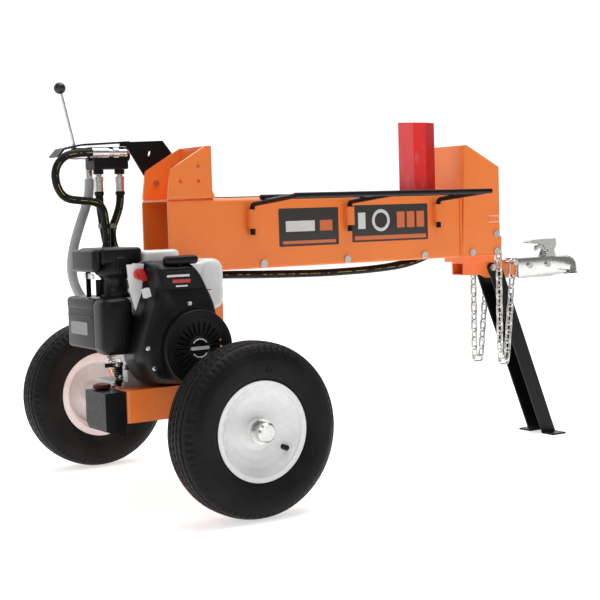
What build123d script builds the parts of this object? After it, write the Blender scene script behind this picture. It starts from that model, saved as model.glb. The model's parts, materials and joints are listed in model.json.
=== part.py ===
"""Towable two-way log splitter with a petrol engine, a hydraulic cylinder and a ball coupler.

Millimetres, +Z up.  X runs along the beam from the engine end towards the coupler, the near side
of the machine is -Y and the ground is Z = 0.  Every dimension is written from the axle line
(X = 0 over the axle); save() shifts the pieces so that the origin ends under the middle of the
whole machine.
"""
from build123d import *
import os
from math import cos, degrees, radians, sin, tan

os.makedirs("parts", exist_ok=True)

# ---------------------------------------------------------------- driving dimensions
X_CENTRE = 571.5            # middle of the machine's length, measured from the axle
SIDES = (("near", -1), ("far", 1))

TYRE_R = 203.0              # 4.80-8 tyre
TYRE_W = 118.0
WHEEL_Y = 431.0             # middle of the tread
RIM_FLANGE_R = 115.5
RIM_SEAT_R = 101.0
SPINDLE_R = 12.5
BEARING_R = 23.5
HUB_R = 29.0

BEAM_X = (-10.0, 1055.0)
BEAM_HALF = 73.0
BEAM_Z = (549.0, 732.0)
WALL = 6.0
RAM_Z = 654.0               # height of the cylinder's axis inside the beam

LEFT_PLATE_X = (104.0, 116.0)
RIGHT_PLATE_X = (930.0, 942.0)
PLATE_TOP = 863.0
GUSSET_T = 8.0
HOLE_D = 10.0
GUSSET_HOLES = ((77.0, 812.0), (77.0, 775.0), (27.0, 775.0))
SIDE_PLATE_T = 6.0
SIDE_BOLTS = ((950.0, 561.0), (1040.0, 561.0), (1040.0, 611.0))
SKIRT_BOLTS = (259.0, 521.0, 782.0)

SOCKET_X = (223.0, 525.0, 826.0)
SOCKET_Y = 85.5
SOCKET_Z = (652.0, 701.0)
ROD_D = 13.0                # log cradle rod
CRADLE_OUT_Y = 300.0
CRADLE_MID_Y = 140.0
CRADLE_Z = 732.0

WEDGE_MID = 821.0
WEDGE_HALF_L = 64.0
WEDGE_FLAT_HALF = 22.0
WEDGE_HALF_T = 14.0
WEDGE_Z = (742.0, 932.0)
BARREL_R = 50.0
BARREL_BORE_R = 41.0
BARREL_X = (275.0, 960.0)
ROD_R = 25.0

TANK_X = (-84.0, 130.0)     # oil reservoir that carries the engine
TANK_Y = (-255.0, 158.0)
TANK_Z = (220.0, 296.0)
WING_X = (-228.0, -84.0)    # its narrower wing under the carburettor side
WING_Y = (-255.0, -64.0)
RETURN_AT = (-6.0, 138.0)   # return connection in the lid
SUCTION_AT = (-67.0, 96.0)
FILLER_AT = (-250.0, -172.0)

CRANK_X, CRANK_Z = -67.0, 386.0
SHROUD_Y = (-300.0, -202.0)

VALVE_Y = 92.0
SPOOL_Z = 845.0
LEVER_PIVOT = (-179.0, 861.0)
KNOB_AT = (-213.0, 1013.0)
KNOB_R = 15.0

LEG_PIVOT = (1064.0, 512.0)
LEG_LEAN = 195.0 / 491.0    # how far the leg leans forward for each millimetre down
LEG_REAR_FOOT = 1253.0
LEG_FOOT_LEN = 52.0
LEG_T = 5.0
TONGUE_HALF = 26.0

BALL_AT = (1380.0, 484.0)   # centre of the 2 inch tow ball
BALL_R = 25.4
LATCH_PIVOT = (1311.0, 545.0)
TRIGGER_PIVOT = (1297.0, 562.0)

CHAIN_Y = 58.0
CHAIN_WIRE = 6.0
CHAIN_STRAIGHT = 20.0
CHAIN_BEND_R = 8.5
SHACKLE_STRAIGHT = 30.0
SHACKLE_BEND_R = 13.0
SHACKLE_WIRE = 7.0
CHAIN_BAR = (1122.0, 524.0)
CHAIN_LUG = (1068.0, 592.0)
CHAIN_LOW = (1078.0, 238.0)

WORK_PORTS = (-118.0, -60.0)
PRESSURE_PORT_X = -66.0
PORT_LINE = (44.0, 852.0)   # pressure line's last run: Y and Z
RETURN_Y = 132.0
PRESSURE_D = 20.0
RETURN_D = 24.0


# ---------------------------------------------------------------- helpers
def save(part, name):
    """Label a finished piece, move it to the machine's own origin and write it."""
    placed = part.moved(Location((-X_CENTRE, 0, 0)))
    placed.label = name
    export_step(placed, f"parts/{name}.step")


def box(x, y, z, mode=Mode.ADD):
    """A block between two X, two Y and two Z values."""
    middle = ((x[0] + x[1]) / 2, (y[0] + y[1]) / 2, (z[0] + z[1]) / 2)
    with Locations(middle):
        Box(x[1] - x[0], y[1] - y[0], z[1] - z[0], mode=mode)


def plate_y(points, y0, y1, mode=Mode.ADD):
    """A flat plate standing along the beam: an X-Z outline between two Y values."""
    with BuildSketch(Plane.XZ.offset(-y0)) as outline:
        Polygon(*points, align=None)
    extrude(outline.sketch, amount=-(y1 - y0), mode=mode)


def drum_y(x, z, radius, y0, y1, mode=Mode.ADD):
    """A round solid with its axis along Y."""
    with Locations(Location((x, (y0 + y1) / 2, z), (90, 0, 0))):
        Cylinder(radius, y1 - y0, mode=mode)


def drum_x(y, z, radius, x0, x1, mode=Mode.ADD):
    """A round solid with its axis along X."""
    with Locations(Location(((x0 + x1) / 2, y, z), (0, 90, 0))):
        Cylinder(radius, x1 - x0, mode=mode)


def drum_z(x, y, radius, z0, z1, mode=Mode.ADD):
    """A round solid with its axis along Z."""
    with Locations((x, y, (z0 + z1) / 2)):
        Cylinder(radius, z1 - z0, mode=mode)


def side_span(side, inner, outer):
    """The Y range of something between two distances from the centre plane, on one side."""
    return tuple(sorted((side * inner, side * outer)))


def hose(points, diameter, name):
    """A hose along straight runs joined by arcs as large as the runs allow."""
    corners = [Vector(*p) for p in points]
    radii = []
    for before, at, after in zip(corners, corners[1:], corners[2:]):
        turn = (at - before).get_angle(after - at)
        shorter = min((at - before).length, (after - at).length)
        radii.append(0.45 * shorter / tan(radians(turn / 2)))
    with BuildPart() as tube:
        with BuildLine() as route:
            FilletPolyline(*points, radius=radii)
        start = Plane(origin=corners[0], z_dir=corners[1] - corners[0])
        with BuildSketch(start):
            Circle(diameter / 2)
        sweep(path=route.line)
    length = sum(edge.length for edge in route.line.edges())
    expected = 3.14159265 / 4 * diameter ** 2 * length
    print(f"{name}: length {length:.0f}, radii {[round(r) for r in radii]},",
          f"volume ratio {tube.part.volume / expected:.4f}")
    return tube.part


# ---------------------------------------------------------------- beam and its end plates
with BuildPart() as beam:
    box(BEAM_X, (-BEAM_HALF, BEAM_HALF), BEAM_Z)
    top_edges = beam.edges().filter_by(Axis.X).group_by(Axis.Z)[-1]
    fillet(top_edges, 14)
    bottom_edges = beam.edges().filter_by(Axis.X).group_by(Axis.Z)[0]
    fillet(bottom_edges, 5)
    inner = BEAM_HALF - WALL
    with BuildSketch(Plane.YZ.offset(BEAM_X[0])):
        with Locations((0, sum(BEAM_Z) / 2)):
            RectangleRounded(2 * inner, BEAM_Z[1] - BEAM_Z[0] - 2 * WALL, 4)
    extrude(amount=BEAM_X[1] - BEAM_X[0], mode=Mode.SUBTRACT)
    # slot for the web that joins the wedge to the cylinder
    with BuildSketch(Plane.XY.offset(BEAM_Z[1])):
        with Locations((527, 0)):
            SlotOverall(770, 33)
    extrude(amount=-2 * WALL, mode=Mode.SUBTRACT)
    # opening where the two working hoses enter from below
    with BuildSketch(Plane.XY.offset(BEAM_Z[0])):
        with Locations((852, 0)):
            RectangleRounded(190, 60, 12)
    extrude(amount=2 * WALL, mode=Mode.SUBTRACT)
    # notches for the bar that anchors the cylinder rod
    box((1013, BEAM_X[1] + 1), (-BEAM_HALF, BEAM_HALF), (645, 663), Mode.SUBTRACT)
    for x in SKIRT_BOLTS:
        drum_y(x, 561, 5, -BEAM_HALF - 1, BEAM_HALF + 1, Mode.SUBTRACT)
    for x, z in SIDE_BOLTS:
        drum_y(x, z, 5, -BEAM_HALF - 1, BEAM_HALF + 1, Mode.SUBTRACT)
save(beam.part, "beam")

with BuildPart() as left_push_plate:
    box(LEFT_PLATE_X, (-BEAM_HALF, BEAM_HALF), (BEAM_Z[1], PLATE_TOP))
    with BuildSketch(Plane.XZ.offset(-BEAM_HALF)):
        Polygon((116, 732), (122, 732), (122, 738), (116, 752), align=None)
    extrude(amount=2 * BEAM_HALF)
    left_outline = ((-8, 732), (-8, 741), (1, 805), (100, PLATE_TOP), (105, PLATE_TOP), (105, 732))
    for label, side in SIDES:
        y0, y1 = side_span(side, BEAM_HALF - GUSSET_T, BEAM_HALF)
        plate_y(left_outline, y0, y1)
        for x, z in GUSSET_HOLES:
            drum_y(x, z, HOLE_D / 2, y0 - 1, y1 + 1, Mode.SUBTRACT)
save(left_push_plate.part, "left_push_plate")

with BuildPart() as right_push_plate:
    box(RIGHT_PLATE_X, (-BEAM_HALF, BEAM_HALF), (BEAM_Z[1], PLATE_TOP + 2))
    right_outline = ((916, 549), (1055, 549), (1055, 645), (1013, 645), (1013, 663), (1055, 663),
                     (1055, 803), (938, 865), (930, 865))
    for label, side in SIDES:
        y0, y1 = side_span(side, BEAM_HALF, BEAM_HALF + SIDE_PLATE_T)
        plate_y(right_outline, y0, y1)
        for x, z in SIDE_BOLTS:
            drum_y(x, z, 5, y0 - 1, y1 + 1, Mode.SUBTRACT)
        # eye plate that the stowed safety chain hooks onto
        y0, y1 = side_span(side, CHAIN_Y - 2.5, BEAM_HALF + SIDE_PLATE_T)
        box((1055, 1061), (y0, y1), (580, 604))
        y0, y1 = side_span(side, CHAIN_Y - 2.5, CHAIN_Y + 2.5)
        plate_y(((1055, 580), (1074, 585), (1076, 592), (1074, 599), (1055, 604)), y0, y1)
        drum_y(*CHAIN_LUG, 5, y0 - 1, y1 + 1, Mode.SUBTRACT)
save(right_push_plate.part, "right_push_plate")

with BuildPart() as cradle_sockets:
    for x in SOCKET_X:
        for label, side in SIDES:
            drum_z(x, side * SOCKET_Y, 12.5, *SOCKET_Z)
            drum_z(x, side * SOCKET_Y, ROD_D / 2 + 0.8, *SOCKET_Z, Mode.SUBTRACT)
save(cradle_sockets.part, "cradle_sockets")


# ---------------------------------------------------------------- log cradles
def log_cradle(side):
    """Three bent arms that drop into the sockets, carrying two long rails."""
    arm_rise = 714.0
    with BuildPart() as cradle:
        for x in SOCKET_X:
            with BuildLine() as arm:
                FilletPolyline((x, side * SOCKET_Y, 636), (x, side * SOCKET_Y, arm_rise),
                               (x, side * CRADLE_OUT_Y, CRADLE_Z), radius=14)
            with BuildSketch(Plane.XY.offset(636)):
                with Locations((x, side * SOCKET_Y)):
                    Circle(ROD_D / 2)
            sweep(path=arm.line)
        drum_x(side * CRADLE_OUT_Y, CRADLE_Z, ROD_D / 2, SOCKET_X[0] - 6.5, SOCKET_X[2] + 8)
        drum_x(side * CRADLE_MID_Y, CRADLE_Z - 1, ROD_D / 2, SOCKET_X[0] - 6.5, 899)
    return cradle.part


for label, side in SIDES:
    save(log_cradle(side), f"{label}_cradle")


# ---------------------------------------------------------------- splitting head
with BuildPart() as wedge:
    with BuildSketch(Plane.XY.offset(WEDGE_Z[0])):
        with Locations((WEDGE_MID, 0)):
            Polygon((-WEDGE_HALF_L, 0), (-WEDGE_FLAT_HALF, -WEDGE_HALF_T),
                    (WEDGE_FLAT_HALF, -WEDGE_HALF_T), (WEDGE_HALF_L, 0),
                    (WEDGE_FLAT_HALF, WEDGE_HALF_T), (-WEDGE_FLAT_HALF, WEDGE_HALF_T), align=None)
    extrude(amount=WEDGE_Z[1] - WEDGE_Z[0])
save(wedge.part, "wedge")

with BuildPart() as wedge_slide:
    # upper shoe on the beam, with the web that passes down through the slot
    box((748, 894), (-56, 56), (BEAM_Z[1] + 0.4, WEDGE_Z[0]))
    shoe_ends = wedge_slide.edges().filter_by(Axis.Z)
    chamfer(shoe_ends, 14)
    box((775, 867), (-15, 15), (705.5, BEAM_Z[1] + 2))
    # lower keeper that hooks under the beam's top plate and saddles the barrel
    box((752, 890), (-54, 54), (692, BEAM_Z[1] - WALL - 0.5))
    drum_x(0, RAM_Z, BARREL_R, 740, 900, Mode.SUBTRACT)
save(wedge_slide.part, "wedge_slide")

with BuildPart() as cylinder_barrel:
    drum_x(0, RAM_Z, BARREL_R, *BARREL_X)
    drum_x(0, RAM_Z, BARREL_BORE_R, *BARREL_X, Mode.SUBTRACT)
save(cylinder_barrel.part, "cylinder_barrel")

with BuildPart() as cylinder_ends:
    drum_x(0, RAM_Z, BARREL_R, BARREL_X[0] - 18, BARREL_X[0])
    chamfer(cylinder_ends.edges().group_by(Axis.X)[0], 4)
    drum_x(0, RAM_Z, BARREL_R, BARREL_X[1], BARREL_X[1] + 18)
    drum_x(0, RAM_Z, ROD_R + 0.1, BARREL_X[1] - 1, BARREL_X[1] + 19, Mode.SUBTRACT)
save(cylinder_ends.part, "cylinder_ends")

with BuildPart() as piston_rod:
    drum_x(0, RAM_Z, ROD_R, 294, 1003)
save(piston_rod.part, "piston_rod")

with BuildPart() as piston:
    drum_x(0, RAM_Z, BARREL_BORE_R - 0.1, 296, 334)
    for groove in (303, 315, 327):
        drum_x(0, RAM_Z, BARREL_BORE_R + 1, groove - 1.5, groove + 1.5, Mode.SUBTRACT)
        drum_x(0, RAM_Z, BARREL_BORE_R - 3, groove - 1.6, groove + 1.6)
    drum_x(0, RAM_Z, ROD_R, 290, 340, Mode.SUBTRACT)
save(piston.part, "piston")

with BuildPart() as anchor_block:
    # cross bar lying in the notches, and the ported block that the fixed rod screws into
    box((1014, 1054), (-79, 79), (646, 662))
    box((1003, 1042), (-42, 42), (562, 692))
    block_edges = anchor_block.edges().filter_by(Axis.X)
    chamfer(block_edges.group_by(Axis.Z)[0], 3)
    for y in (-12, 12):
        drum_x(y, 580, 6, 1002, 1030, Mode.SUBTRACT)
save(anchor_block.part, "anchor_block")


# ---------------------------------------------------------------- undercarriage
with BuildPart() as undercarriage:
    # axle tube with turned spindles, and two plates that stand the beam on the reservoir
    box((-17, 17), (-340, 340), (TANK_Z[0] - 34, TANK_Z[0]))
    for label, side in SIDES:
        y0, y1 = side_span(side, 340, 479)
        drum_y(0, TYRE_R, SPINDLE_R, y0, y1)
        y0, y1 = side_span(side, 332, 346)
        drum_y(0, TYRE_R, 20, y0, y1)
    for label, side in SIDES:
        y0, y1 = side_span(side, 57, 65)
        plate_y(((40, TANK_Z[1]), (160, TANK_Z[1]), (140, 400), (140, BEAM_Z[0]), (60, BEAM_Z[0]),
                 (60, 400)), y0, y1)
save(undercarriage.part, "undercarriage")

with BuildPart() as reservoir:
    box(TANK_X, TANK_Y, TANK_Z)
    box((WING_X[0], WING_X[1] + 1), WING_Y, TANK_Z)
    fillet(reservoir.edges().filter_by(Axis.Z), 10)
    offset(amount=-3, kind=Kind.INTERSECTION, mode=Mode.SUBTRACT)
    for x, y in (RETURN_AT, SUCTION_AT):
        drum_z(x, y, 9, TANK_Z[1] - 5, TANK_Z[1] + 1, Mode.SUBTRACT)
save(reservoir.part, "reservoir")

FILLER_TOP = 294.0
NECK_R = 16.0
with BuildPart() as filler_box:
    # oil filler box on the corner of the reservoir, its near cheek hanging lower
    plate_y(((-280, FILLER_TOP), (-280, 206), (-228, 188), (-228, FILLER_TOP)), -255, -249)
    plate_y(((-280, FILLER_TOP), (-280, 206), (-228, 206), (-228, FILLER_TOP)), -249, -145)
    chamfer(filler_box.edges().filter_by(Axis.X).group_by(Axis.Y)[-1].sort_by(Axis.Z)[0], 14)
    box((-276, -231), (-245, -149), (212, 288), Mode.SUBTRACT)
    drum_z(*FILLER_AT, NECK_R - 2, 280, 300, Mode.SUBTRACT)
    drum_z(*FILLER_AT, NECK_R, 284, FILLER_TOP + 3)
    drum_z(*FILLER_AT, NECK_R - 3, 280, FILLER_TOP + 4, Mode.SUBTRACT)
save(filler_box.part, "filler_box")

with BuildPart() as filler_cap:
    drum_z(*FILLER_AT, NECK_R + 5, FILLER_TOP + 3.3, FILLER_TOP + 12)
    fillet(filler_cap.edges().group_by(Axis.Z)[-1], 3)
    drum_z(*FILLER_AT, NECK_R - 3.2, 286, FILLER_TOP + 4)
save(filler_cap.part, "filler_cap")


# ---------------------------------------------------------------- wheels
def tyre(side):
    """A closed tyre carcass: crown, shoulders, side walls and beads."""
    half = TYRE_W / 2
    with BuildPart() as carcass:
        with BuildSketch(Plane.YZ):
            with BuildLine():
                crown = ThreePointArc((-46, 193), (0, TYRE_R), (46, 193))
                right = Spline(crown @ 1, (half, 162), (50, 125), (41.5, 117))
                base = Polyline(right @ 1, (41.5, 102.4), (-41.5, 102.4), (-41.5, 117))
                Spline(base @ 1, (-50, 125), (-half, 162), crown @ 0)
            make_face()
            with BuildLine():
                roof = ThreePointArc((-38, 184), (0, 191), (38, 184))
                wall = Spline(roof @ 1, (half - 8, 160), (42, 128), (33, 112))
                foot = Line(wall @ 1, (-33, 112))
                Spline(foot @ 1, (-42, 128), (-half + 8, 160), roof @ 0)
            make_face(mode=Mode.SUBTRACT)
        revolve(axis=Axis.Y)
    return carcass.part.moved(Location((0, side * WHEEL_Y, TYRE_R)))


def rim(side):
    """Pressed steel rim with a bowl-shaped dish and a bored hub; local +Y points outwards."""
    with BuildPart() as wheel:
        with BuildSketch(Plane.YZ):
            with BuildLine():
                Polyline((-46, RIM_FLANGE_R), (-43.5, RIM_FLANGE_R), (-42.5, RIM_SEAT_R + 1),
                         (-20, RIM_SEAT_R - 1), (-15, 90), (15, 90), (20, RIM_SEAT_R - 1),
                         (42.5, RIM_SEAT_R + 1), (43.5, RIM_FLANGE_R), (46, RIM_FLANGE_R),
                         (44.5, 104), (37, 95), (28, 84), (22, 66), (19, 45), (19, HUB_R),
                         (38, HUB_R), (38, BEARING_R + 0.1), (-44, BEARING_R + 0.1),
                         (-44, HUB_R), (14, HUB_R), (14, 46), (17, 67), (21, 81), (16, 86),
                         (-18, 86), (-23, RIM_SEAT_R - 4.5), (-44, RIM_SEAT_R - 3), close=True)
            make_face()
        revolve(axis=Axis.Y)
    turned = wheel.part if side > 0 else wheel.part.rotate(Axis.Z, 180)
    return turned.moved(Location((0, side * WHEEL_Y, TYRE_R)))


def dust_cap(side):
    """Pressed cap that closes the hub."""
    with BuildPart() as cap:
        with BuildSketch(Plane.YZ):
            with BuildLine():
                Polyline((38, 0), (38, 23), (63, 23), (68, 18), (68, 0), close=True)
            make_face()
            with BuildLine():
                Polyline((37, 0), (37, 20.5), (61.5, 20.5), (65, 16), (65, 0), close=True)
            make_face(mode=Mode.SUBTRACT)
        revolve(axis=Axis.Y)
        with BuildSketch(Plane.YZ):
            with Locations((39.5, 25)):
                Rectangle(3, 8)
        revolve(axis=Axis.Y)
    turned = cap.part if side > 0 else cap.part.rotate(Axis.Z, 180)
    return turned.moved(Location((0, side * WHEEL_Y, TYRE_R)))


for label, side in SIDES:
    save(tyre(side), f"{label}_tyre")
    save(rim(side), f"{label}_rim")
    save(dust_cap(side), f"{label}_dust_cap")

with BuildPart() as wheel_hardware:
    for label, side in SIDES:
        for inner_y, outer_y in ((WHEEL_Y - 43, WHEEL_Y - 27), (WHEEL_Y + 20, WHEEL_Y + 35)):
            y0, y1 = side_span(side, inner_y, outer_y)
            drum_y(0, TYRE_R, BEARING_R, y0, y1)
            drum_y(0, TYRE_R, SPINDLE_R, y0 - 1, y1 + 1, Mode.SUBTRACT)
    for label, side in SIDES:
        y0, y1 = side_span(side, WHEEL_Y + 36, WHEEL_Y + 47)
        with BuildSketch(Plane.XZ.offset(-y0)):
            with Locations((0, TYRE_R)):
                RegularPolygon(16, 6)
        extrude(amount=-(y1 - y0))
        drum_y(0, TYRE_R, SPINDLE_R, y0 - 1, y1 + 1, Mode.SUBTRACT)
save(wheel_hardware.part, "wheel_hardware")


# ---------------------------------------------------------------- engine
with BuildPart() as crankcase:
    box((-214, 38), (-198, -58), (TANK_Z[1], 308))
    fillet(crankcase.edges().filter_by(Axis.Z), 12)
    box((-150, 30), (-198, -60), (306, 440))
    box((-128, 0), (-182, -72), (438, 543))
    for fin in range(7):
        level = 452 + 13 * fin
        box((-136, 3), (-183, -66), (level, level + 4))
    # sloping oil filler boss on the carburettor side
    box((-196, -148), (-198, -166), (306, 336))
    drum_y(CRANK_X, CRANK_Z, 46, -60, -50)
    drum_y(CRANK_X, CRANK_Z, 40, -245, -196)
    drum_y(CRANK_X, CRANK_Z, 13.2, -250, -40, Mode.SUBTRACT)
    drum_y(CRANK_X, CRANK_Z, 36, -190, -84, Mode.SUBTRACT)
    drum_z(-180, -182, 9.3, 318, 340, Mode.SUBTRACT)
save(crankcase.part, "crankcase")

with BuildPart() as crankshaft:
    drum_y(CRANK_X, CRANK_Z, 13.1, -284, -2)
    for web_y in (-180, -110):
        box((CRANK_X - 14, CRANK_X + 14), (web_y - 7, web_y + 7), (CRANK_Z - 30, CRANK_Z + 30))
    drum_y(CRANK_X, CRANK_Z + 18, 10, -175, -115)
    box((CRANK_X - 20, CRANK_X + 20), (-172, -118), (CRANK_Z - 14, CRANK_Z + 7.5), Mode.SUBTRACT)
save(crankshaft.part, "crankshaft")

with BuildPart() as flywheel:
    drum_y(CRANK_X, CRANK_Z, 68, -272, -262)
    drum_y(CRANK_X, CRANK_Z, 30, -278, -254)
    for blade in range(16):
        turn = radians(blade * 22.5)
        with Locations(Location((CRANK_X + 52 * cos(turn), -277, CRANK_Z + 52 * sin(turn)),
                                (0, -degrees(turn), 0))):
            Box(28, 12, 3)
    drum_y(CRANK_X, CRANK_Z, 13.1, -290, -250, Mode.SUBTRACT)
save(flywheel.part, "flywheel")

SHROUD_OUTLINE = ((-155, 577), (-57, 577), (-17, 514), (0, 475), (12, 395), (10, 350), (-14, 312),
                  (-60, 300), (-120, 300), (-172, 312), (-200, 352), (-205, 385), (-191, 442),
                  (-161, 518))
with BuildPart() as fan_shroud:
    plate_y(SHROUD_OUTLINE, *SHROUD_Y)
    front_rim = fan_shroud.edges().group_by(Axis.Y)[0]
    fillet(front_rim, 9)
    with BuildSketch(Plane.XZ.offset(-SHROUD_Y[0] - 4)):
        Polygon(*SHROUD_OUTLINE, align=None)
        offset(amount=-4, mode=Mode.REPLACE)
    extrude(amount=-(SHROUD_Y[1] - SHROUD_Y[0]), mode=Mode.SUBTRACT)
    # round air inlet behind the recoil starter, and the hole for its rope
    drum_y(CRANK_X, CRANK_Z, 74, SHROUD_Y[0] - 1, SHROUD_Y[0] + 6, Mode.SUBTRACT)
    drum_z(CRANK_X - 30, -291, 4, 560, 580, Mode.SUBTRACT)
save(fan_shroud.part, "fan_shroud")

with BuildPart() as recoil_cover:
    # shallow domed cover with radial louvres; it holds the rope pulley
    with BuildSketch(Plane.XZ.offset(-SHROUD_Y[0])):
        with Locations((CRANK_X, CRANK_Z)):
            Circle(92)
    extrude(amount=17, taper=14)
    fillet(recoil_cover.edges().group_by(Axis.Y)[0], 6)
    drum_y(CRANK_X, CRANK_Z, 70, -313, -299, Mode.SUBTRACT)
    for slot in range(24):
        turn = radians(slot * 15)
        with Locations(Location((CRANK_X + 46 * cos(turn), -314, CRANK_Z + 46 * sin(turn)),
                                (0, -degrees(turn), 0))):
            Box(30, 12, 4.5, mode=Mode.SUBTRACT)
save(recoil_cover.part, "recoil_cover")

PULLEY_R = 30.0
with BuildPart() as recoil_pulley:
    drum_y(CRANK_X, CRANK_Z, PULLEY_R + 8, -307, -288)
    drum_y(CRANK_X, CRANK_Z, PULLEY_R + 9, -294.5, -287.5, Mode.SUBTRACT)
    drum_y(CRANK_X, CRANK_Z, PULLEY_R - 3, -295, -287)
    drum_y(CRANK_X, CRANK_Z, PULLEY_R + 8, -287.5, -285)
    drum_y(CRANK_X, CRANK_Z, 6, -312.7, -307)
save(recoil_pulley.part, "recoil_pulley")

with BuildPart() as starter_grip:
    with BuildSketch(Plane.XY.offset(579)):
        with Locations((-97, -284)):
            RectangleRounded(80, 26, 12)
    extrude(amount=17)
    fillet(starter_grip.edges().group_by(Axis.Z)[-1], 7)
    drum_z(CRANK_X - PULLEY_R, -291, 2.2, CRANK_Z, 580)
save(starter_grip.part, "starter_grip")

FUEL_CAP_AT = (-100.0, -102.0)
FUEL_NECK_TOP = 586.0
with BuildPart() as fuel_tank:
    # a side lobe beside the cylinder, a flat part above it, and a raised front end
    box((8, 78), (-190, -78), (465, 578))
    box((-134, 78), (-190, -78), (548, 578))
    box((-134, -38), (-190, -130), (570, 608))
    fillet(fuel_tank.edges().filter_by(Axis.Z), 12)
    fillet(fuel_tank.faces().sort_by(Axis.Z)[-1].edges(), 9)
    fillet(fuel_tank.faces().sort_by(Axis.Z)[0].edges(), 9)
    drum_z(*FUEL_CAP_AT, 18, 570, FUEL_NECK_TOP)
    drum_z(*FUEL_CAP_AT, 15, 560, FUEL_NECK_TOP + 1, Mode.SUBTRACT)
save(fuel_tank.part, "fuel_tank")

with BuildPart() as fuel_cap:
    drum_z(*FUEL_CAP_AT, 22, FUEL_NECK_TOP + 0.3, FUEL_NECK_TOP + 14)
    fillet(fuel_cap.edges().group_by(Axis.Z)[-1], 4)
    drum_z(*FUEL_CAP_AT, 14.8, FUEL_NECK_TOP - 14, FUEL_NECK_TOP + 1)
save(fuel_cap.part, "fuel_cap")

with BuildPart() as air_cleaner:
    box((-258, -180), (-200, 0), (384, 504))
    fillet(air_cleaner.edges().filter_by(Axis.Z), 16)
    fillet(air_cleaner.edges().group_by(Axis.Z)[-1], 9)
    box((-251, -187), (-193, -7), (391, 497), Mode.SUBTRACT)
save(air_cleaner.part, "air_cleaner")

with BuildPart() as muffler:
    drum_z(-202, -158, 42, 505, 580)
    for groove in range(4):
        level = 520 + 14 * groove
        with BuildSketch(Plane.XY.offset(level)):
            with Locations((-202, -158)):
                Circle(43)
                Circle(39, mode=Mode.SUBTRACT)
        extrude(amount=4, mode=Mode.SUBTRACT)
    box((-170, -137), (-172, -140), (524, 545))
save(muffler.part, "muffler")

with BuildPart() as heat_guard:
    with BuildSketch(Plane.XY.offset(582)):
        with Locations((-204, -129)):
            RectangleRounded(124, 142, 8)
    extrude(amount=40, taper=10)
    fillet(heat_guard.edges().group_by(Axis.Z)[-1], 5)
    box((-256, -152), (-190, -68), (581, 612), Mode.SUBTRACT)
save(heat_guard.part, "heat_guard")

with BuildPart() as control_panel:
    plate_y(((-204, 583), (-161, 583), (-168, 520), (-186, 476), (-198, 520)), -234, -230)
    box((-190, -170), (-231, -205), (520, 526))
    box((-176, -170), (-231, -203), (526, 532))
save(control_panel.part, "control_panel")

with BuildPart() as engine_switch:
    drum_y(-176, 560, 13, -246, -234.3)
    box((-179, -173), (-252, -244), (548, 572))
    fillet(engine_switch.edges().filter_by(Axis.Y), 1)
save(engine_switch.part, "engine_switch")

with BuildPart() as carburettor:
    box((-180, -151), (-168, -122), (398, 452))
    drum_z(-165.5, -145, 14, 372, 398)
    drum_x(-145, 430, 14, -180, -150)
save(carburettor.part, "carburettor")

with BuildPart() as oil_dipstick:
    drum_z(-180, -182, 13, 336.2, 348)
    fillet(oil_dipstick.edges().group_by(Axis.Z)[-1], 3)
    drum_z(-180, -182, 9, 320, 337)
save(oil_dipstick.part, "oil_dipstick")


# ---------------------------------------------------------------- pump
with BuildPart() as pump_mount:
    drum_y(CRANK_X, CRANK_Z, 60, -50, 52)
    drum_y(CRANK_X, CRANK_Z, 52, -40, 42, Mode.SUBTRACT)
    drum_y(CRANK_X, CRANK_Z, 30, -51, 53, Mode.SUBTRACT)
    box((CRANK_X - 24, CRANK_X + 24), (-28, 30), (430, 460), Mode.SUBTRACT)
save(pump_mount.part, "pump_mount")

with BuildPart() as gear_pump:
    box((-110, -24), (52, 70), (338, 434))
    box((-104, -30), (70, 132), (344, 428))
    fillet(gear_pump.edges().filter_by(Axis.Y), 10)
    drum_z(CRANK_X, 96, 15, 330, 346)
    drum_z(CRANK_X, 100, 12, 426, 440)
    drum_y(CRANK_X, CRANK_Z, 9.1, 50, 84, Mode.SUBTRACT)
    drum_y(CRANK_X, CRANK_Z, 26, 84, 120, Mode.SUBTRACT)
save(gear_pump.part, "gear_pump")

with BuildPart() as shaft_coupling:
    # two jaw hubs with a rubber spider, and the pump's input shaft
    drum_y(CRANK_X, CRANK_Z, 27, -34, 2)
    drum_y(CRANK_X, CRANK_Z, 13.1, -35, -1, Mode.SUBTRACT)
    drum_y(CRANK_X, CRANK_Z, 25, 2, 10)
    drum_y(CRANK_X, CRANK_Z, 27, 10, 38)
    drum_y(CRANK_X, CRANK_Z, 9, 36, 82)
save(shaft_coupling.part, "shaft_coupling")


# ---------------------------------------------------------------- valve, lever and fittings
with BuildPart() as valve_bracket:
    plate_y(((56, 884), (86, 846), (92, 792), (70, 758), (18, 758), (8, 782), (-46, 869),
             (-64, 869), (-64, 880)), BEAM_HALF, BEAM_HALF + 5)
    for x, z in (GUSSET_HOLES[0], GUSSET_HOLES[2]):
        drum_y(x, z, HOLE_D / 2, BEAM_HALF - 1, BEAM_HALF + 6, Mode.SUBTRACT)
    with BuildSketch(Plane.XZ.offset(-BEAM_HALF + 1)):
        with Locations(Location((17, 851), 70)):
            SlotOverall(14, 6)
    extrude(amount=-8, mode=Mode.SUBTRACT)
    # tray over the valve, bent down at its end and slotted for the lever
    plate_y(((-44, 882), (-171, 875), (-221, 864), (-239, 845), (-236, 842), (-219.5, 860),
             (-170.5, 871), (-44, 878)), 60, 118)
    with BuildSketch(Plane.XY.offset(855)):
        with Locations((-182, VALVE_Y)):
            SlotOverall(40, 13)
    extrude(amount=25, mode=Mode.SUBTRACT)
save(valve_bracket.part, "valve_bracket")

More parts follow.
